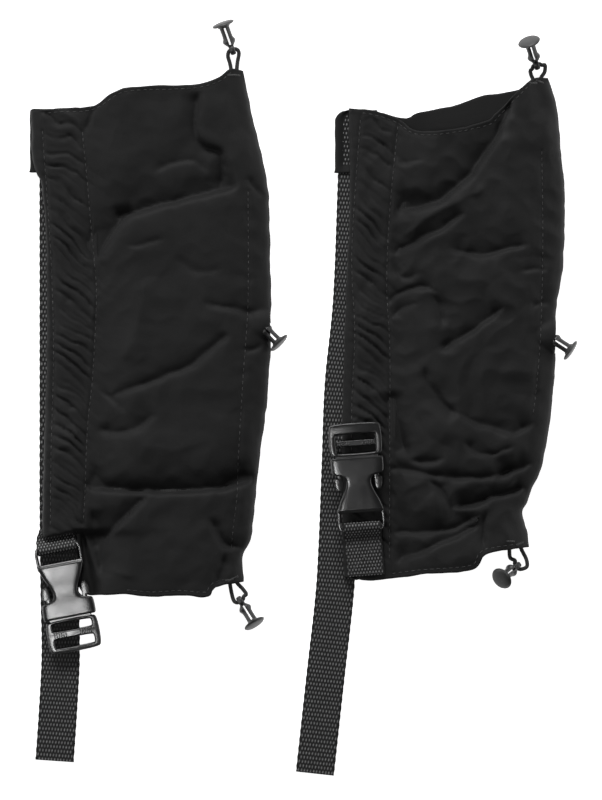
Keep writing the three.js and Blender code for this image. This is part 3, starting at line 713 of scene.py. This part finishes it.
    def cover(self, xy, height, v):
        """Keeps the front layer over the back one, over the cords and over the hooks' eyes."""
        height = np.maximum(height, self.back_height(xy, v) + FABRIC + 0.9)
        for strand in self.strands:
            r, _, _ = nearest(xy, strand)
            height = np.maximum(height, 5.6 - (r / 3.6) ** 2)
        eye = (Vector(JOINTS[f"{self.side}_hook_middle_tilt"]["pos_m"]) - self.origin) / MM
        r = np.hypot(xy[:, 0] - eye.x, xy[:, 1] - eye.y)
        height = np.maximum(height, 10.6 - (r / 5.4) ** 2.4)
        return self.press(xy, height)

    def press(self, xy, height):
        """Keeps the cloth under the buckle and its loop."""
        inverse = np.array(buckle_matrix(self.side).inverted())
        spots = np.zeros((len(xy), 4))
        spots[:, :2], spots[:, 3] = xy * MM + np.array(self.origin)[:2], 1
        x, y = (spots @ inverse.T)[:, :2].T
        beyond = np.maximum(-self.spec["clear"] - y, y - BUCKLE_REACH)
        past = np.hypot(np.maximum(0, np.abs(x) - BUCKLE_HALF), np.maximum(0, beyond))
        low = JOINTS[f"{self.side}_buckle_fold"]["pos_m"][2] / MM - 4.5
        return np.minimum(height, low - 0.3 + 1.1 * past ** 1.15)

    def edge_sway(self, xy):
        """Small waves of the outline, sideways and up."""
        return np.stack([0.7 * ripple(xy, 11, 31) + 0.35 * ripple(xy, 4.5, 33),
                         0.6 * ripple(xy, 12, 35) + 0.25 * ripple(xy, 5, 37)], -1)


def across_stations(dense, total, fine, coarse):
    """Shares across, closer together over the channel."""
    over_channel = np.linspace(0, dense, fine, endpoint=False)
    return np.concatenate([over_channel, np.linspace(dense, total, coarse)])


def around_hook(side, origin, spot):
    """Whether a spot on the seam is where the middle hook comes out."""
    eye = (Vector(JOINTS[f"{side}_hook_middle_tilt"]["pos_m"]) - origin) / MM
    return math.hypot(spot[0] - eye.x, spot[1] - eye.y) < 13 and abs(spot[1] - (eye.y - 6)) < 7


def build_sleeve(side):
    """Both layers as one skin, joined down the seam and the fold."""
    sleeve = Sleeve(side)
    v = np.linspace(0, 1, ROWS_DOWN)
    fronts = across_stations(0.3, 1.0, 54, 74)
    backs = np.linspace(1, 0, 48)
    layers = []
    for u, top, height in ((fronts, "top", sleeve.front_height),
                           (backs, "back_top", sleeve.back_height)):
        xy = sleeve.plan(u, v, top).reshape(-1, 2)
        z = height(xy, np.tile(v, len(u)))
        xy = xy + sleeve.edge_sway(xy)
        layers.append(np.concatenate([xy, z[:, None]], 1).reshape(len(u), len(v), 3))
    front, back = layers
    seam_mid = (front[-1] + back[0]) / 2 + (0.5, 0, 0)
    fold_mid = (front[0] + back[-1]) / 2 - (0.6, 0, 0)
    rings = np.concatenate([front, seam_mid[None], back, fold_mid[None]])
    around = len(rings)
    points = rings.transpose(1, 0, 2).reshape(-1, 3)
    seam_columns = {len(front) - 1, len(front)}
    kept = [face for face in ring_faces(len(v), around)
            if face[0] % around not in seam_columns
            or not around_hook(side, sleeve.origin, points[list(face)].mean(0))]
    points = points * MM + np.array(sleeve.origin)
    return sleeve, add_mesh(f"{side}_sleeve_cloth", points, kept, NYLON, "nylon"), front


def finish_sleeve(side):
    """Turns the skin outward and gives it the cloth's thickness inward."""
    sleeve, made, front = build_sleeve(side)
    bm = bmesh.new()
    bm.from_mesh(made.data)
    if sum(f.normal.z for f in bm.faces if f.calc_center_median().z > 0.009) < 0:
        bmesh.ops.reverse_faces(bm, faces=bm.faces)
    bm.to_mesh(made.data)
    bm.free()
    shell = made.modifiers.new("shell", "SOLIDIFY")
    shell.thickness, shell.offset = FABRIC * MM, -1
    apply_modifiers(made)
    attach(made, f"{side}_sleeve")
    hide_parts(f"{side}_front_panel", f"{side}_back_panel")
    add_linings(sleeve, front)
    return sleeve, made


def add_linings(sleeve, front):
    """The tapes and the facing sewn inside the front layer, which hardly show."""
    side = sleeve.side
    strips = (("channel_tape", "channel_elastic", ELASTIC, "elastic", (12, 46), (18, 212), 0.8),
              ("ankle_tape", "ankle_elastic", ELASTIC, "elastic", (62, 100), (196, 212), 0.8),
              ("seam_strip", "seam_facing", NYLON, "nylon", (106, 118), (72, 230), 0.5))
    for name, stands_for, material, slot, (u0, u1), (v0, v1), thick in strips:
        grid = front[u0:u1:2, v0:v1:2].copy()
        v = np.linspace(0, 1, ROWS_DOWN)[v0:v1:2]
        floor = sleeve.back_height(grid.reshape(-1, 3)[:, :2], np.tile(v, len(grid)))
        low = floor.reshape(grid.shape[:2]) + FABRIC + 0.15
        under = np.maximum(grid[..., 2] - FABRIC - 0.5 - thick, low)
        top = grid.copy()
        grid[..., 2], top[..., 2] = under, under + thick
        ring = np.concatenate([top, grid[::-1]]).transpose(1, 0, 2)
        points = ring.reshape(-1, 3) * MM + np.array(sleeve.origin)
        made = outward(add_mesh(f"{side}_{name}", points, capped(*ring.shape[:2]), material, slot))
        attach(made, f"{side}_sleeve")
        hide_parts(f"{side}_{stands_for}")


SLEEVES = {side: finish_sleeve(side) for side in SIDES}


# ---- webbing ---------------------------------------------------------------------------
def woven(name, spots, sides, thick, width=STRAP_WIDTH, across=60, under=60, pick=2.84, warp=1.0):
    """Webbing along spots, with each yarn's crown raised; all in metres except sizes."""
    s = lengths(spots) / MM
    heading = np.gradient(spots, axis=0)
    heading /= np.linalg.norm(heading, axis=1)[:, None]
    normal = np.cross(sides, heading)
    rings, crown_highlights = [], []
    for count, sign in ((across, 1), (under, -1)):
        x = np.linspace(-sign, sign, count) * width / 2
        ss, xx = np.meshgrid(s, x, indexing="ij")
        over, along_it = np.cos(np.pi * xx / warp), np.cos(np.pi * ss / pick)
        crown = np.where(over * along_it > 0, np.abs(over) ** 0.55 * np.abs(along_it) ** 1.9, 0)
        edge = np.clip(1 - np.abs(2 * xx / width) ** 12, 0.06, 1) ** 0.5
        off = sign * edge * (thick / 2 - 0.3 * (1 - crown)) * MM
        scallop = np.where(np.abs(xx) > width / 2 - 0.1, 0.16 * np.cos(np.pi * ss / pick), 0)
        wide = (xx + scallop * np.sign(xx))[..., None] * MM
        rings.append(spots[:, None] + wide * sides[:, None] + off[..., None] * normal[:, None])
        crown_highlights.append(crown * (np.abs(xx) < width / 2 - 0.9))
    points = np.concatenate(rings, 1).reshape(-1, 3)
    made = add_mesh(name, points, capped(len(spots), across + under), WEBBING, "webbing")
    # The crown mask goes to the crown attribute, which paints the webbing's highlight on the yarn
    # tops.
    values = (np.concatenate(crown_highlights, 1).reshape(-1) ** 1.3).astype(np.float32)
    made.data.attributes.new("crown", "FLOAT", "POINT").data.foreach_set("value", values)
    return outward(made)


def add_strap(side):
    """One length of webbing, from inside the tab to the cut end, bending where its tail lifts."""
    spec, origin = GAITERS[side], origin_of(side)
    line = catmull([(*p, 0) for p in spec["strap"]], 24, 0.5)
    count = int(lengths(line)[-1] / 0.58)
    line = along(line, np.linspace(0, 1, count))
    heading = np.gradient(line, axis=0)
    heading /= np.linalg.norm(heading, axis=1)[:, None]
    sides = np.stack([heading[:, 1], -heading[:, 0], np.zeros(count)], -1)
    end = spec["tab"]["start"] - 2
    line[:, 2] = STRAP_THICK / 2 + 0.9 * ease(end - 25, end, line[:, 1])
    flat = np.array([noise.noise(Vector((y / 40, 0, 7.7))) for y in line[:, 1]])
    line[:, 2] += 0.25 * np.abs(flat) * (line[:, 1] < 0)
    strap = woven(f"{side}_strap_webbing", line * MM + np.array(origin), sides, STRAP_THICK)
    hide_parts(f"{side}_strap", f"{side}_strap_tail")
    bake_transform(strap)
    return strap


def add_tab(side):
    """A leaf of nylon folded round the strap's top end."""
    tab, origin = GAITERS[side]["tab"], origin_of(side)
    radius = 1.35
    middle = radius + TAB_THICK / 2
    bend = tab["fold"] + middle
    turn = np.linspace(-np.pi / 2, -3 * np.pi / 2, 15)
    round_it = np.stack([bend + radius * np.cos(turn), middle + radius * np.sin(turn)], -1)
    flat = np.linspace(bend + TAB_REACH, bend, 24, endpoint=False)
    leaves = [np.stack([x, np.full(len(x), middle + z)], -1)
              for x, z in ((flat, -radius), (flat[::-1], radius))]
    path = np.concatenate([leaves[0], round_it, leaves[1]])
    heading = np.gradient(path, axis=0)
    heading /= np.linalg.norm(heading, axis=1)[:, None]
    out = np.stack([-heading[:, 1], heading[:, 0]], -1) * TAB_THICK / 2
    loop = np.concatenate([path + out, (path - out)[::-1]])
    stations = np.linspace(tab["start"], tab["end"], 48)
    rings = []
    for y in stations:
        lip = 0.5 * ease(3, 0, y - tab["start"])
        sway = 0.35 * noise.noise(Vector((y / 7, 2.2, 0)))
        past = np.clip((y - tab["end"] + tab["corner"]) / tab["corner"], 0, 1)
        x, z = loop.T
        drawn_in = tab["corner"] * (1 - math.sqrt(1 - past * past)) * ease(bend + 14, bend, x)
        hollow = 1.1 * ease(bend + 1, bend + 4, x) * (z > 2) * ease(0, 6, y - tab["start"])
        shifted = x + sway + drawn_in - lip * (x < bend + 1)
        rings.append(np.stack([shifted, np.full(len(loop), y), z - hollow], -1))
    points = np.concatenate(rings) * MM + np.array(origin)
    faces = capped(len(stations), len(loop))
    made = outward(add_mesh(f"{side}_tab_cloth", points, faces, NYLON, "nylon"))
    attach(made, f"{side}_sleeve")
    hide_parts(f"{side}_strap_anchor_tab")


for side in SIDES:
    add_strap(side)
    add_tab(side)


# ---- buckles ---------------------------------------------------------------------------
def rounded(points, times=2):
    """A closed outline with its corners cut back, twice by default."""
    points = np.array(points, float)
    for _ in range(times):
        after = np.roll(points, -1, axis=0)
        pairs = np.stack([0.75 * points + 0.25 * after, 0.25 * points + 0.75 * after], 1)
        points = pairs.reshape(-1, 2)
    return points


def box_outline(x0, x1, y0, y1, corner):
    c = corner
    return rounded([(x0 + c, y0), (x1 - c, y0), (x1, y0 + c), (x1, y1 - c),
                    (x1 - c, y1), (x0 + c, y1), (x0, y1 - c), (x0, y0 + c)])


def plate(outline, thick, bevel, holes=(), z=0.0):
    """A flat moulding with rounded edges, as (points, faces) in millimetres."""
    curve = bpy.data.curves.new("plate", "CURVE")
    curve.dimensions, curve.fill_mode = "2D", "BOTH"
    curve.extrude, curve.bevel_depth, curve.bevel_resolution = thick / 2 - bevel, bevel, 3
    curve.offset = -bevel
    for number, ring in enumerate([outline, *holes]):
        area = sum(a[0] * b[1] - b[0] * a[1] for a, b in zip(ring, np.roll(ring, -1, axis=0)))
        ring = ring if (area > 0) == (number == 0) else ring[::-1]
        spline = curve.splines.new("POLY")
        spline.points.add(len(ring) - 1)
        spline.points.foreach_set("co", np.array([(x, y, 0, 1) for x, y in ring]).ravel())
        spline.use_cyclic_u = True
    holder = bpy.data.objects.new("plate", curve)
    bpy.context.collection.objects.link(holder)
    bpy.context.view_layer.update()
    depsgraph = bpy.context.evaluated_depsgraph_get()
    mesh = bpy.data.meshes.new_from_object(holder.evaluated_get(depsgraph))
    shape = ([(v.co.x, v.co.y, v.co.z + z) for v in mesh.vertices],
             [tuple(p.vertices) for p in mesh.polygons])
    bpy.data.objects.remove(holder)
    return shape


def loft(sections):
    """A closed shape through rings of equal count, as (points, faces)."""
    return np.concatenate(sections), capped(len(sections), len(sections[0]))


def oval(half_width, half_thick, power, y, count=56):
    turn = np.linspace(0, 2 * np.pi, count, endpoint=False)
    x, z = (np.sign(w) * np.abs(w) ** (2 / power) for w in (np.cos(turn), np.sin(turn)))
    return np.stack([half_width * x, np.full(count, y), half_thick * z], -1)


def bar_shape(start, end, radius, count=18):
    """A round bar between two points, with softened ends."""
    start, end = np.array(start, float), np.array(end, float)
    heading = (end - start) / np.linalg.norm(end - start)
    side = np.cross(heading, (0.0, 0.31, 0.95))
    side /= np.linalg.norm(side)
    normal = np.cross(side, heading)
    turn = np.linspace(0, 2 * np.pi, count, endpoint=False)[:, None]
    ring = np.cos(turn) * side + np.sin(turn) * normal
    stops = ((0, 0.6), (0.12, 0.88), (0.35, 1.0))
    spots = [(start + heading * radius * a, radius * r) for a, r in stops]
    spots += [(end - heading * radius * a, radius * r) for a, r in reversed(stops)]
    return loft([spot + ring * size for spot, size in spots])


def assemble(name, shapes, matrix, material, slot, body, stands_for, sharp=35):
    """Several closed shapes as one piece, set in place by the matrix."""
    points, faces = [], []
    for shape_points, shape_faces in shapes:
        base = len(points)
        points += [matrix @ Vector(p) for p in shape_points]
        faces += [tuple(base + i for i in face) for face in shape_faces]
    made = outward(add_mesh(name, points, faces, material, slot))
    bm = bmesh.new()
    bm.from_mesh(made.data)
    bmesh.ops.remove_doubles(bm, verts=bm.verts, dist=1e-7)
    bm.to_mesh(made.data)
    bm.free()
    made.data.set_sharp_from_angle(angle=math.radians(sharp))
    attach(made, body)
    if stands_for:
        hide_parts(stands_for)
    return made


def cut(made, shape, matrix):
    """Takes a closed shape out of a piece."""
    mesh = bpy.data.meshes.new("cutter")
    mesh.from_pydata([tuple(matrix @ Vector(p)) for p in shape[0]], [], shape[1])
    tool = bpy.data.objects.new("cutter", mesh)
    bpy.context.collection.objects.link(tool)
    outward(tool)
    change = made.modifiers.new("cut", "BOOLEAN")
    change.object, change.operation, change.solver = tool, "DIFFERENCE", "EXACT"
    apply_modifiers(made)
    bpy.data.objects.remove(tool)
    made.data.set_sharp_from_angle(angle=math.radians(35))


# Half width and distance from the bar, in millimetres.
SOCKET_SIDE = [(15.5, 9.4), (15.3, 10.4), (14.5, 13), (12.9, 17.3), (10.9, 21.4), (9.2, 25),
               (8.3, 28.4), (8.5, 30.8), (10.2, 32.9), (13.6, 34.1), (16.2, 35), (17.0, 37),
               (17.2, 40), (17.2, 43.6), (16.9, 45.3)]
RAIL = [(14.3, 12.5), (14.3, 8), (14.4, 4), (14.2, 1), (13.2, -1.3), (11.4, -2.1)]
RIBS = [hand * x for hand in (-1, 1) for x in (4.6, 6.1, 7.6, 9.1, 10.6, 12.1)]


def rail(sign, count=20):
    """One side of the loop end, from the body round the bar's end."""
    line = along(catmull(RAIL), np.linspace(0, 1, 30)) * (sign, 1)
    heading = np.gradient(line, axis=0)
    heading /= np.linalg.norm(heading, axis=1)[:, None]
    turn = np.linspace(0, 2 * np.pi, count, endpoint=False)
    x, z = (np.sign(w) * np.abs(w) ** 0.6 for w in (np.cos(turn), np.sin(turn)))
    sizes = [1] * (len(line) - 3) + [0.95, 0.85, 0.6]
    return loft([np.stack([px - hy * size * x, py + hx * size * x, 3.1 * size * z], -1)
                 for (px, py), (hx, hy), size in zip(line, heading, sizes)])


def add_socket(side):
    matrix, body = buckle_matrix(side), f"{side}_buckle"
    sections = []
    for half, y in along(catmull(SOCKET_SIDE), np.linspace(0, 1, 72)):
        waist = 0.3 * np.exp(-((y - 27) / 7) ** 2)
        thick = 3.2 + 1.3 * ease(9.4, 11.2, y) - 0.35 * ease(44.4, 45.3, y) - waist
        sections.append(oval(half - 0.3 * ease(44.6, 45.3, y), thick, 8.0, y, 72))
    shell = assemble(f"{side}_socket_shell", [loft(sections)], matrix, ACETAL, "acetal", body,
                     f"{side}_buckle_socket")
    shell.parent = None
    mouth = ((14.3, 2.8, 12), (14.3, 2.8, 45), (14.7, 3.1, 46.5))
    cut(shell, loft([oval(half, thick, 7, y) for half, thick, y in mouth]), matrix)
    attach(shell, body)
    shapes = [rail(1), rail(-1), bar_shape((-13.9, 0, 0), (13.9, 0, 0), 1.7)]
    assemble(f"{side}_socket_bar", shapes, matrix, ACETAL, "acetal", body, None)


def add_plug(side):
    matrix = buckle_matrix(side)
    spans, sunk = GAITERS[side]["plug_slots"], GAITERS[side]["sunk_bar"]
    holes = [box_outline(-13, 13, start, end, 1.0) for start, end in spans]
    if sunk:
        holes = [box_outline(-13, 13, spans[0][0], spans[1][1], 1.0)]
    shapes = [plate(box_outline(-17.2, 17.2, 45.8, 67.8, 2.6), 5.4, 1.1, holes),
              plate(box_outline(-13.9, 13.9, 42.6, 47, 0.5), 4.8, 0.4),
              plate(box_outline(-3, 3, 14.6, 43.6, 1.2), 3, 0.6)]
    first, last = spans[0][1] + 0.5, spans[1][0] - 0.5
    top = 0.5 if sunk else 2.5
    shapes += [bar_shape((x, first, top), (x, last, top), 0.5, 10) for x in RIBS]
    if sunk:
        sunk_outline = box_outline(-13.4, 13.4, first - 0.5, last + 0.5, 0.6)
        shapes.append(plate(sunk_outline, 3.0, 0.5, z=-1.0))
        shapes += [bar_shape((12.6 * hand, y, 1.4), (13.6 * hand, y, 1.4), 0.42, 8)
                   for hand in (-1, 1) for y in np.arange(spans[0][0] + 1.2, spans[1][1] - 1, 1.9)]
    assemble(f"{side}_plug_frame", shapes, matrix, ACETAL, "acetal", f"{side}_plug",
             f"{side}_buckle_plug")
    arm = [(1.6, -0.3), (1.6, -7.9), (1.4, -9.9), (3.3, -10.1), (3.6, -11.9), (3.0, -16.9),
           (1.6, -18.9), (-1.6, -18.4), (-1.6, -0.3)]
    for hand, sign in (("left", -1), ("right", 1)):
        outline = rounded([(sign * (11.9 + x), 42.6 + y) for x, y in arm])
        ribs = [bar_shape((sign * 15.1, y, -1.7), (sign * 15.1, y, 1.7), 0.4, 10)
                for y in (27.2, 28.6, 30.0)]
        assemble(f"{side}_arm_{hand}_spring", [plate(outline, 4.6, 0.5), *ribs], matrix, ACETAL,
                 "acetal", f"{side}_arm_{hand}", f"{side}_latch_arm_{hand}")


def add_buckle_loop(side):
    """Webbing doubled round the buckle's bar; its ends are sewn to the sleeve's foot."""
    spec = GAITERS[side]
    length, r, low = spec["loop"], LOOP_RADIUS, -3.9
    high, slant = low + LOOP_THICK + 0.3, 0.72 * LOOP_RADIUS
    route = [(-length, low), (-length / 2, low), (-6.4, low), (-3.6, (low - r) / 2), (0, -r),
             (slant, -slant), (r, 0), (slant, slant), (0, r), (-slant, slant),
             (-4.4, (high + slant) / 2), (-7.2, high), (-length / 2, high), (-length, high)]
    line = catmull(route, 10)
    line = along(line, np.linspace(0, 1, int(lengths(line)[-1] / 0.4)))
    matrix = buckle_matrix(side)
    spots = np.array([matrix @ Vector((spec["sewn_aside"] * ease(-5, -22, y), y, z))
                      for y, z in line])
    across = np.array(matrix.to_3x3() @ Vector((1, 0, 0))) / MM
    loop = woven(f"{side}_loop_webbing", spots, np.tile(-across, (len(spots), 1)), LOOP_THICK,
                 width=spec["loop_width"], across=74, under=74, pick=2.2, warp=1.0)
    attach(loop, f"{side}_sleeve")
    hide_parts(f"{side}_buckle_loop")
    return loop


LOOPS = {}
for side in SIDES:
    add_socket(side)
    add_plug(side)
    LOOPS[side] = add_buckle_loop(side)


# ---- hooks -----------------------------------------------------------------------------
# Radius and distance from the eye's middle, in millimetres.
SHANK = [(1.7, 2.3), (2.8, 3.6), (4.1, 5.4), (4.1, 6.6), (3.3, 8.4), (3.2, 12), (3.3, 15.9)]
HEAD = [(3.0, 15.2), (3.9, 15.7), (4.1, 16.2), (4.7, 16.5), (6.6, 16.9), (7.3, 17.5),
        (7.25, 17.9), (6.2, 18.7), (4.0, 19.15), (1.6, 19.3), (0.2, 19.3)]


def prong(sign, slit=0.6, count=20):
    """Half of the split shank."""
    sections = []
    for radius, y in along(catmull(SHANK), np.linspace(0, 1, 30)):
        limit = math.acos(min(1, slit / radius))
        turn = np.linspace(-limit, limit, count)
        arc = np.stack([sign * radius * np.cos(turn), np.full(count, y), radius * np.sin(turn)], -1)
        flat = np.linspace(0.8, -0.8, 6)[:, None] * radius * math.sin(limit)
        wall = np.concatenate([np.full((6, 1), sign * slit), np.full((6, 1), y), flat], 1)
        sections.append(np.concatenate([arc, wall]))
    return loft(sections)


def turned(profile, count=48):
    line = along(catmull(profile), np.linspace(0, 1, 40))
    return loft([oval(radius, radius, 2, y, count) for radius, y in line])


def eye_ring(inner=1.78, outer=3.5, half=1.8, count=40):
    section = rounded([(inner, -half + 0.3), (inner + 0.35, -half), (outer - 0.6, -half),
                       (outer, -half + 0.7), (outer, half - 0.7), (outer - 0.6, half),
                       (inner + 0.35, half), (inner, half - 0.3)])
    turn = np.linspace(0, 2 * np.pi, count, endpoint=False)
    r, x = section.T
    rings = [np.stack([x, r * math.cos(a), r * math.sin(a)], -1) for a in turn]
    return np.concatenate(rings), ring_faces(count, len(section), loop=True)


def add_hook(side, name):
    eye, across, heading = hook_axes(side, name)
    turn = Matrix((across, heading, across.cross(heading))).transposed().to_4x4()
    matrix = Matrix.Translation(eye) @ turn @ Matrix.Scale(MM, 4)
    shapes, body = [eye_ring(), prong(1), prong(-1), turned(HEAD)], f"{side}_hook_{name}"
    assemble(f"{side}_{name}_button", shapes, matrix, HOOK_PLASTIC, "hook_plastic", body, body, 50)


for side in SIDES:
    for name in ("top", "middle", "bottom"):
        add_hook(side, name)


# ---- stitching -------------------------------------------------------------------------
def on_top(tree, spot, lift):
    """A plan point in metres, put on the highest surface under it."""
    hit = tree.ray_cast(Vector((spot[0], spot[1], 0.1)), Vector((0, 0, -1)))[0]
    return None if hit is None else np.array(hit + Vector((0, 0, lift * MM)))


def stitch_rows(name, tree, rows, body, pitch=STITCH_PITCH, dash=0.6, radius=THREAD):
    """Rows of single stitches lying on the cloth. rows are plan lines in metres."""
    points, faces = [], []
    turn = np.linspace(0, 2 * np.pi, 6, endpoint=False)[:, None]
    for row in rows:
        total = lengths(row)[-1]
        for start in np.arange(0.3 * pitch * MM, total - pitch * MM, pitch * MM):
            shares = (start + np.linspace(0, dash * pitch * MM, 5)) / total
            spots = [on_top(tree, p, lift)
                     for p, lift in zip(along(row, shares), (-0.1, 0.1, 0.14, 0.1, -0.1))]
            if any(p is None for p in spots):
                continue
            spots = np.array(spots)
            heading = spots[-1] - spots[0]
            side = np.cross(heading, (0, 0, 1))
            side = side / max(np.linalg.norm(side), 1e-9)
            base = len(points)
            round_it = np.cos(turn) * side + np.sin(turn) * np.array((0, 0, 1.0))
            for spot, size in zip(spots, (0.5, 1, 1, 1, 0.5)):
                points += list(spot + size * radius * MM * round_it)
            faces += [tuple(base + i for i in face) for face in capped(5, 6)]
    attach(outward(add_mesh(name, points, faces, THREAD_BLACK, "nylon")), body)


def stitch_gaiter(side):
    sleeve, made = SLEEVES[side]
    tree = BVHTree.FromObject(made, bpy.context.evaluated_depsgraph_get())
    origin = np.array(sleeve.origin)[:2]
    rows = [row * MM + origin for row in sleeve.rows.values()]
    stitch_rows(f"{side}_stitching", tree, rows, f"{side}_sleeve")
    tacks = []
    for strand in (*sleeve.strands[:2], *sleeve.strands[4:]):
        heading = (strand[-1] - strand[1]) / np.linalg.norm(strand[-1] - strand[1])
        across = np.array([-heading[1], heading[0]])
        for step in np.arange(-2.4, 2.5, 0.48):
            start = strand[2] + heading * 1.5 + across * step
            tacks.append(np.array([start, start + heading * 1.35 * TACK]) * MM + origin)
    stitch_rows(f"{side}_bar_tacks", tree, tacks, f"{side}_sleeve", pitch=TACK)


def stitch_patch(side, loop):
    """Box stitching through the sewn end of the buckle's loop."""
    tree = BVHTree.FromObject(loop, bpy.context.evaluated_depsgraph_get())
    matrix, spec = buckle_matrix(side), GAITERS[side]
    near, far, half = -9.5, -spec["loop"] + 1.6, 10.9
    corners = [(-half, near), (half, near), (half, far), (-half, far), (-half, near), (half, far)]
    spots = [matrix @ Vector((x + spec["sewn_aside"] * ease(-5, -22, y), y, 0))
             for x, y in corners]
    rows = [np.array([(*a.xy,), (*b.xy,)]) for a, b in zip(spots, spots[1:])]
    rows.append(np.array([(*spots[1].xy,), (*spots[3].xy,)]))
    stitch_rows(f"{side}_box_stitches", tree, rows, f"{side}_sleeve", pitch=2.0, dash=0.75,
                radius=0.24)


for side in SIDES:
    stitch_gaiter(side)
    stitch_patch(side, LOOPS[side])


# ---- floor and light -------------------------------------------------------------------
def add_floor():
    corners = [(FLOOR_HALF * x, FLOOR_HALF * y, FLOOR_Z)
               for x, y in ((-1, -1), (1, -1), (1, 1), (-1, 1))]
    floor = add_mesh("floor", corners, [(0, 1, 2, 3)], NYLON, "nylon")
    material, _, bsdf, _ = shader("floor_paper", Base_Color=(0.93, 0.93, 0.93, 1), Roughness=0.9)
    bsdf.inputs["Emission Color"].default_value = (1, 1, 1, 1)
    bsdf.inputs["Emission Strength"].default_value = 1.0
    floor.data.materials[0] = material
    del floor["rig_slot"]


def add_light(name, spot, size, power, shine_only=False):
    lamp = bpy.data.lights.new(name, "AREA")
    lamp.shape, lamp.size, lamp.size_y, lamp.energy = "RECTANGLE", size[0], size[1], power
    made = bpy.data.objects.new(name, lamp)
    made.location = spot
    made.visible_diffuse = not shine_only
    made.rotation_euler = Vector(spot).to_track_quat("Z", "Y").to_euler()
    bpy.context.collection.objects.link(made)


def add_world(zenith, horizon):
    """A white room: bright all round at the horizon and dim overhead."""
    world = bpy.data.worlds.new("studio")
    world.use_nodes = True
    tree = world.node_tree
    at = node(tree, "ShaderNodeTexCoord").outputs["Generated"]
    up = node(tree, "ShaderNodeSeparateXYZ", {"Vector": at}).outputs
    strength = product(tree, remap(tree, up["Z"], horizon, zenith, 0.04, 0.4),
                       remap(tree, up["Y"], 0.42, 1.0, -0.8, 0.6))
    tree.nodes["Background"].inputs["Color"].default_value = (1, 1, 1, 1)
    tree.links.new(strength, tree.nodes["Background"].inputs["Strength"])
    bpy.context.scene.world = world


add_floor()
add_world(0.1, 0.95)
add_light("key", (-0.3, 1.9, 1.15), (1.3, 0.6), 36)
add_light("strip_left", (-1.6, 0.1, 0.75), STRIP_SIZE, 9, True)
add_light("strip_right", (1.6, 0.1, 0.75), STRIP_SIZE, 9, True)
add_light("satin", (-0.44, -0.3, 2.3), (0.34, 0.34), 13, True)
bpy.context.scene.view_settings.view_transform = "Standard"
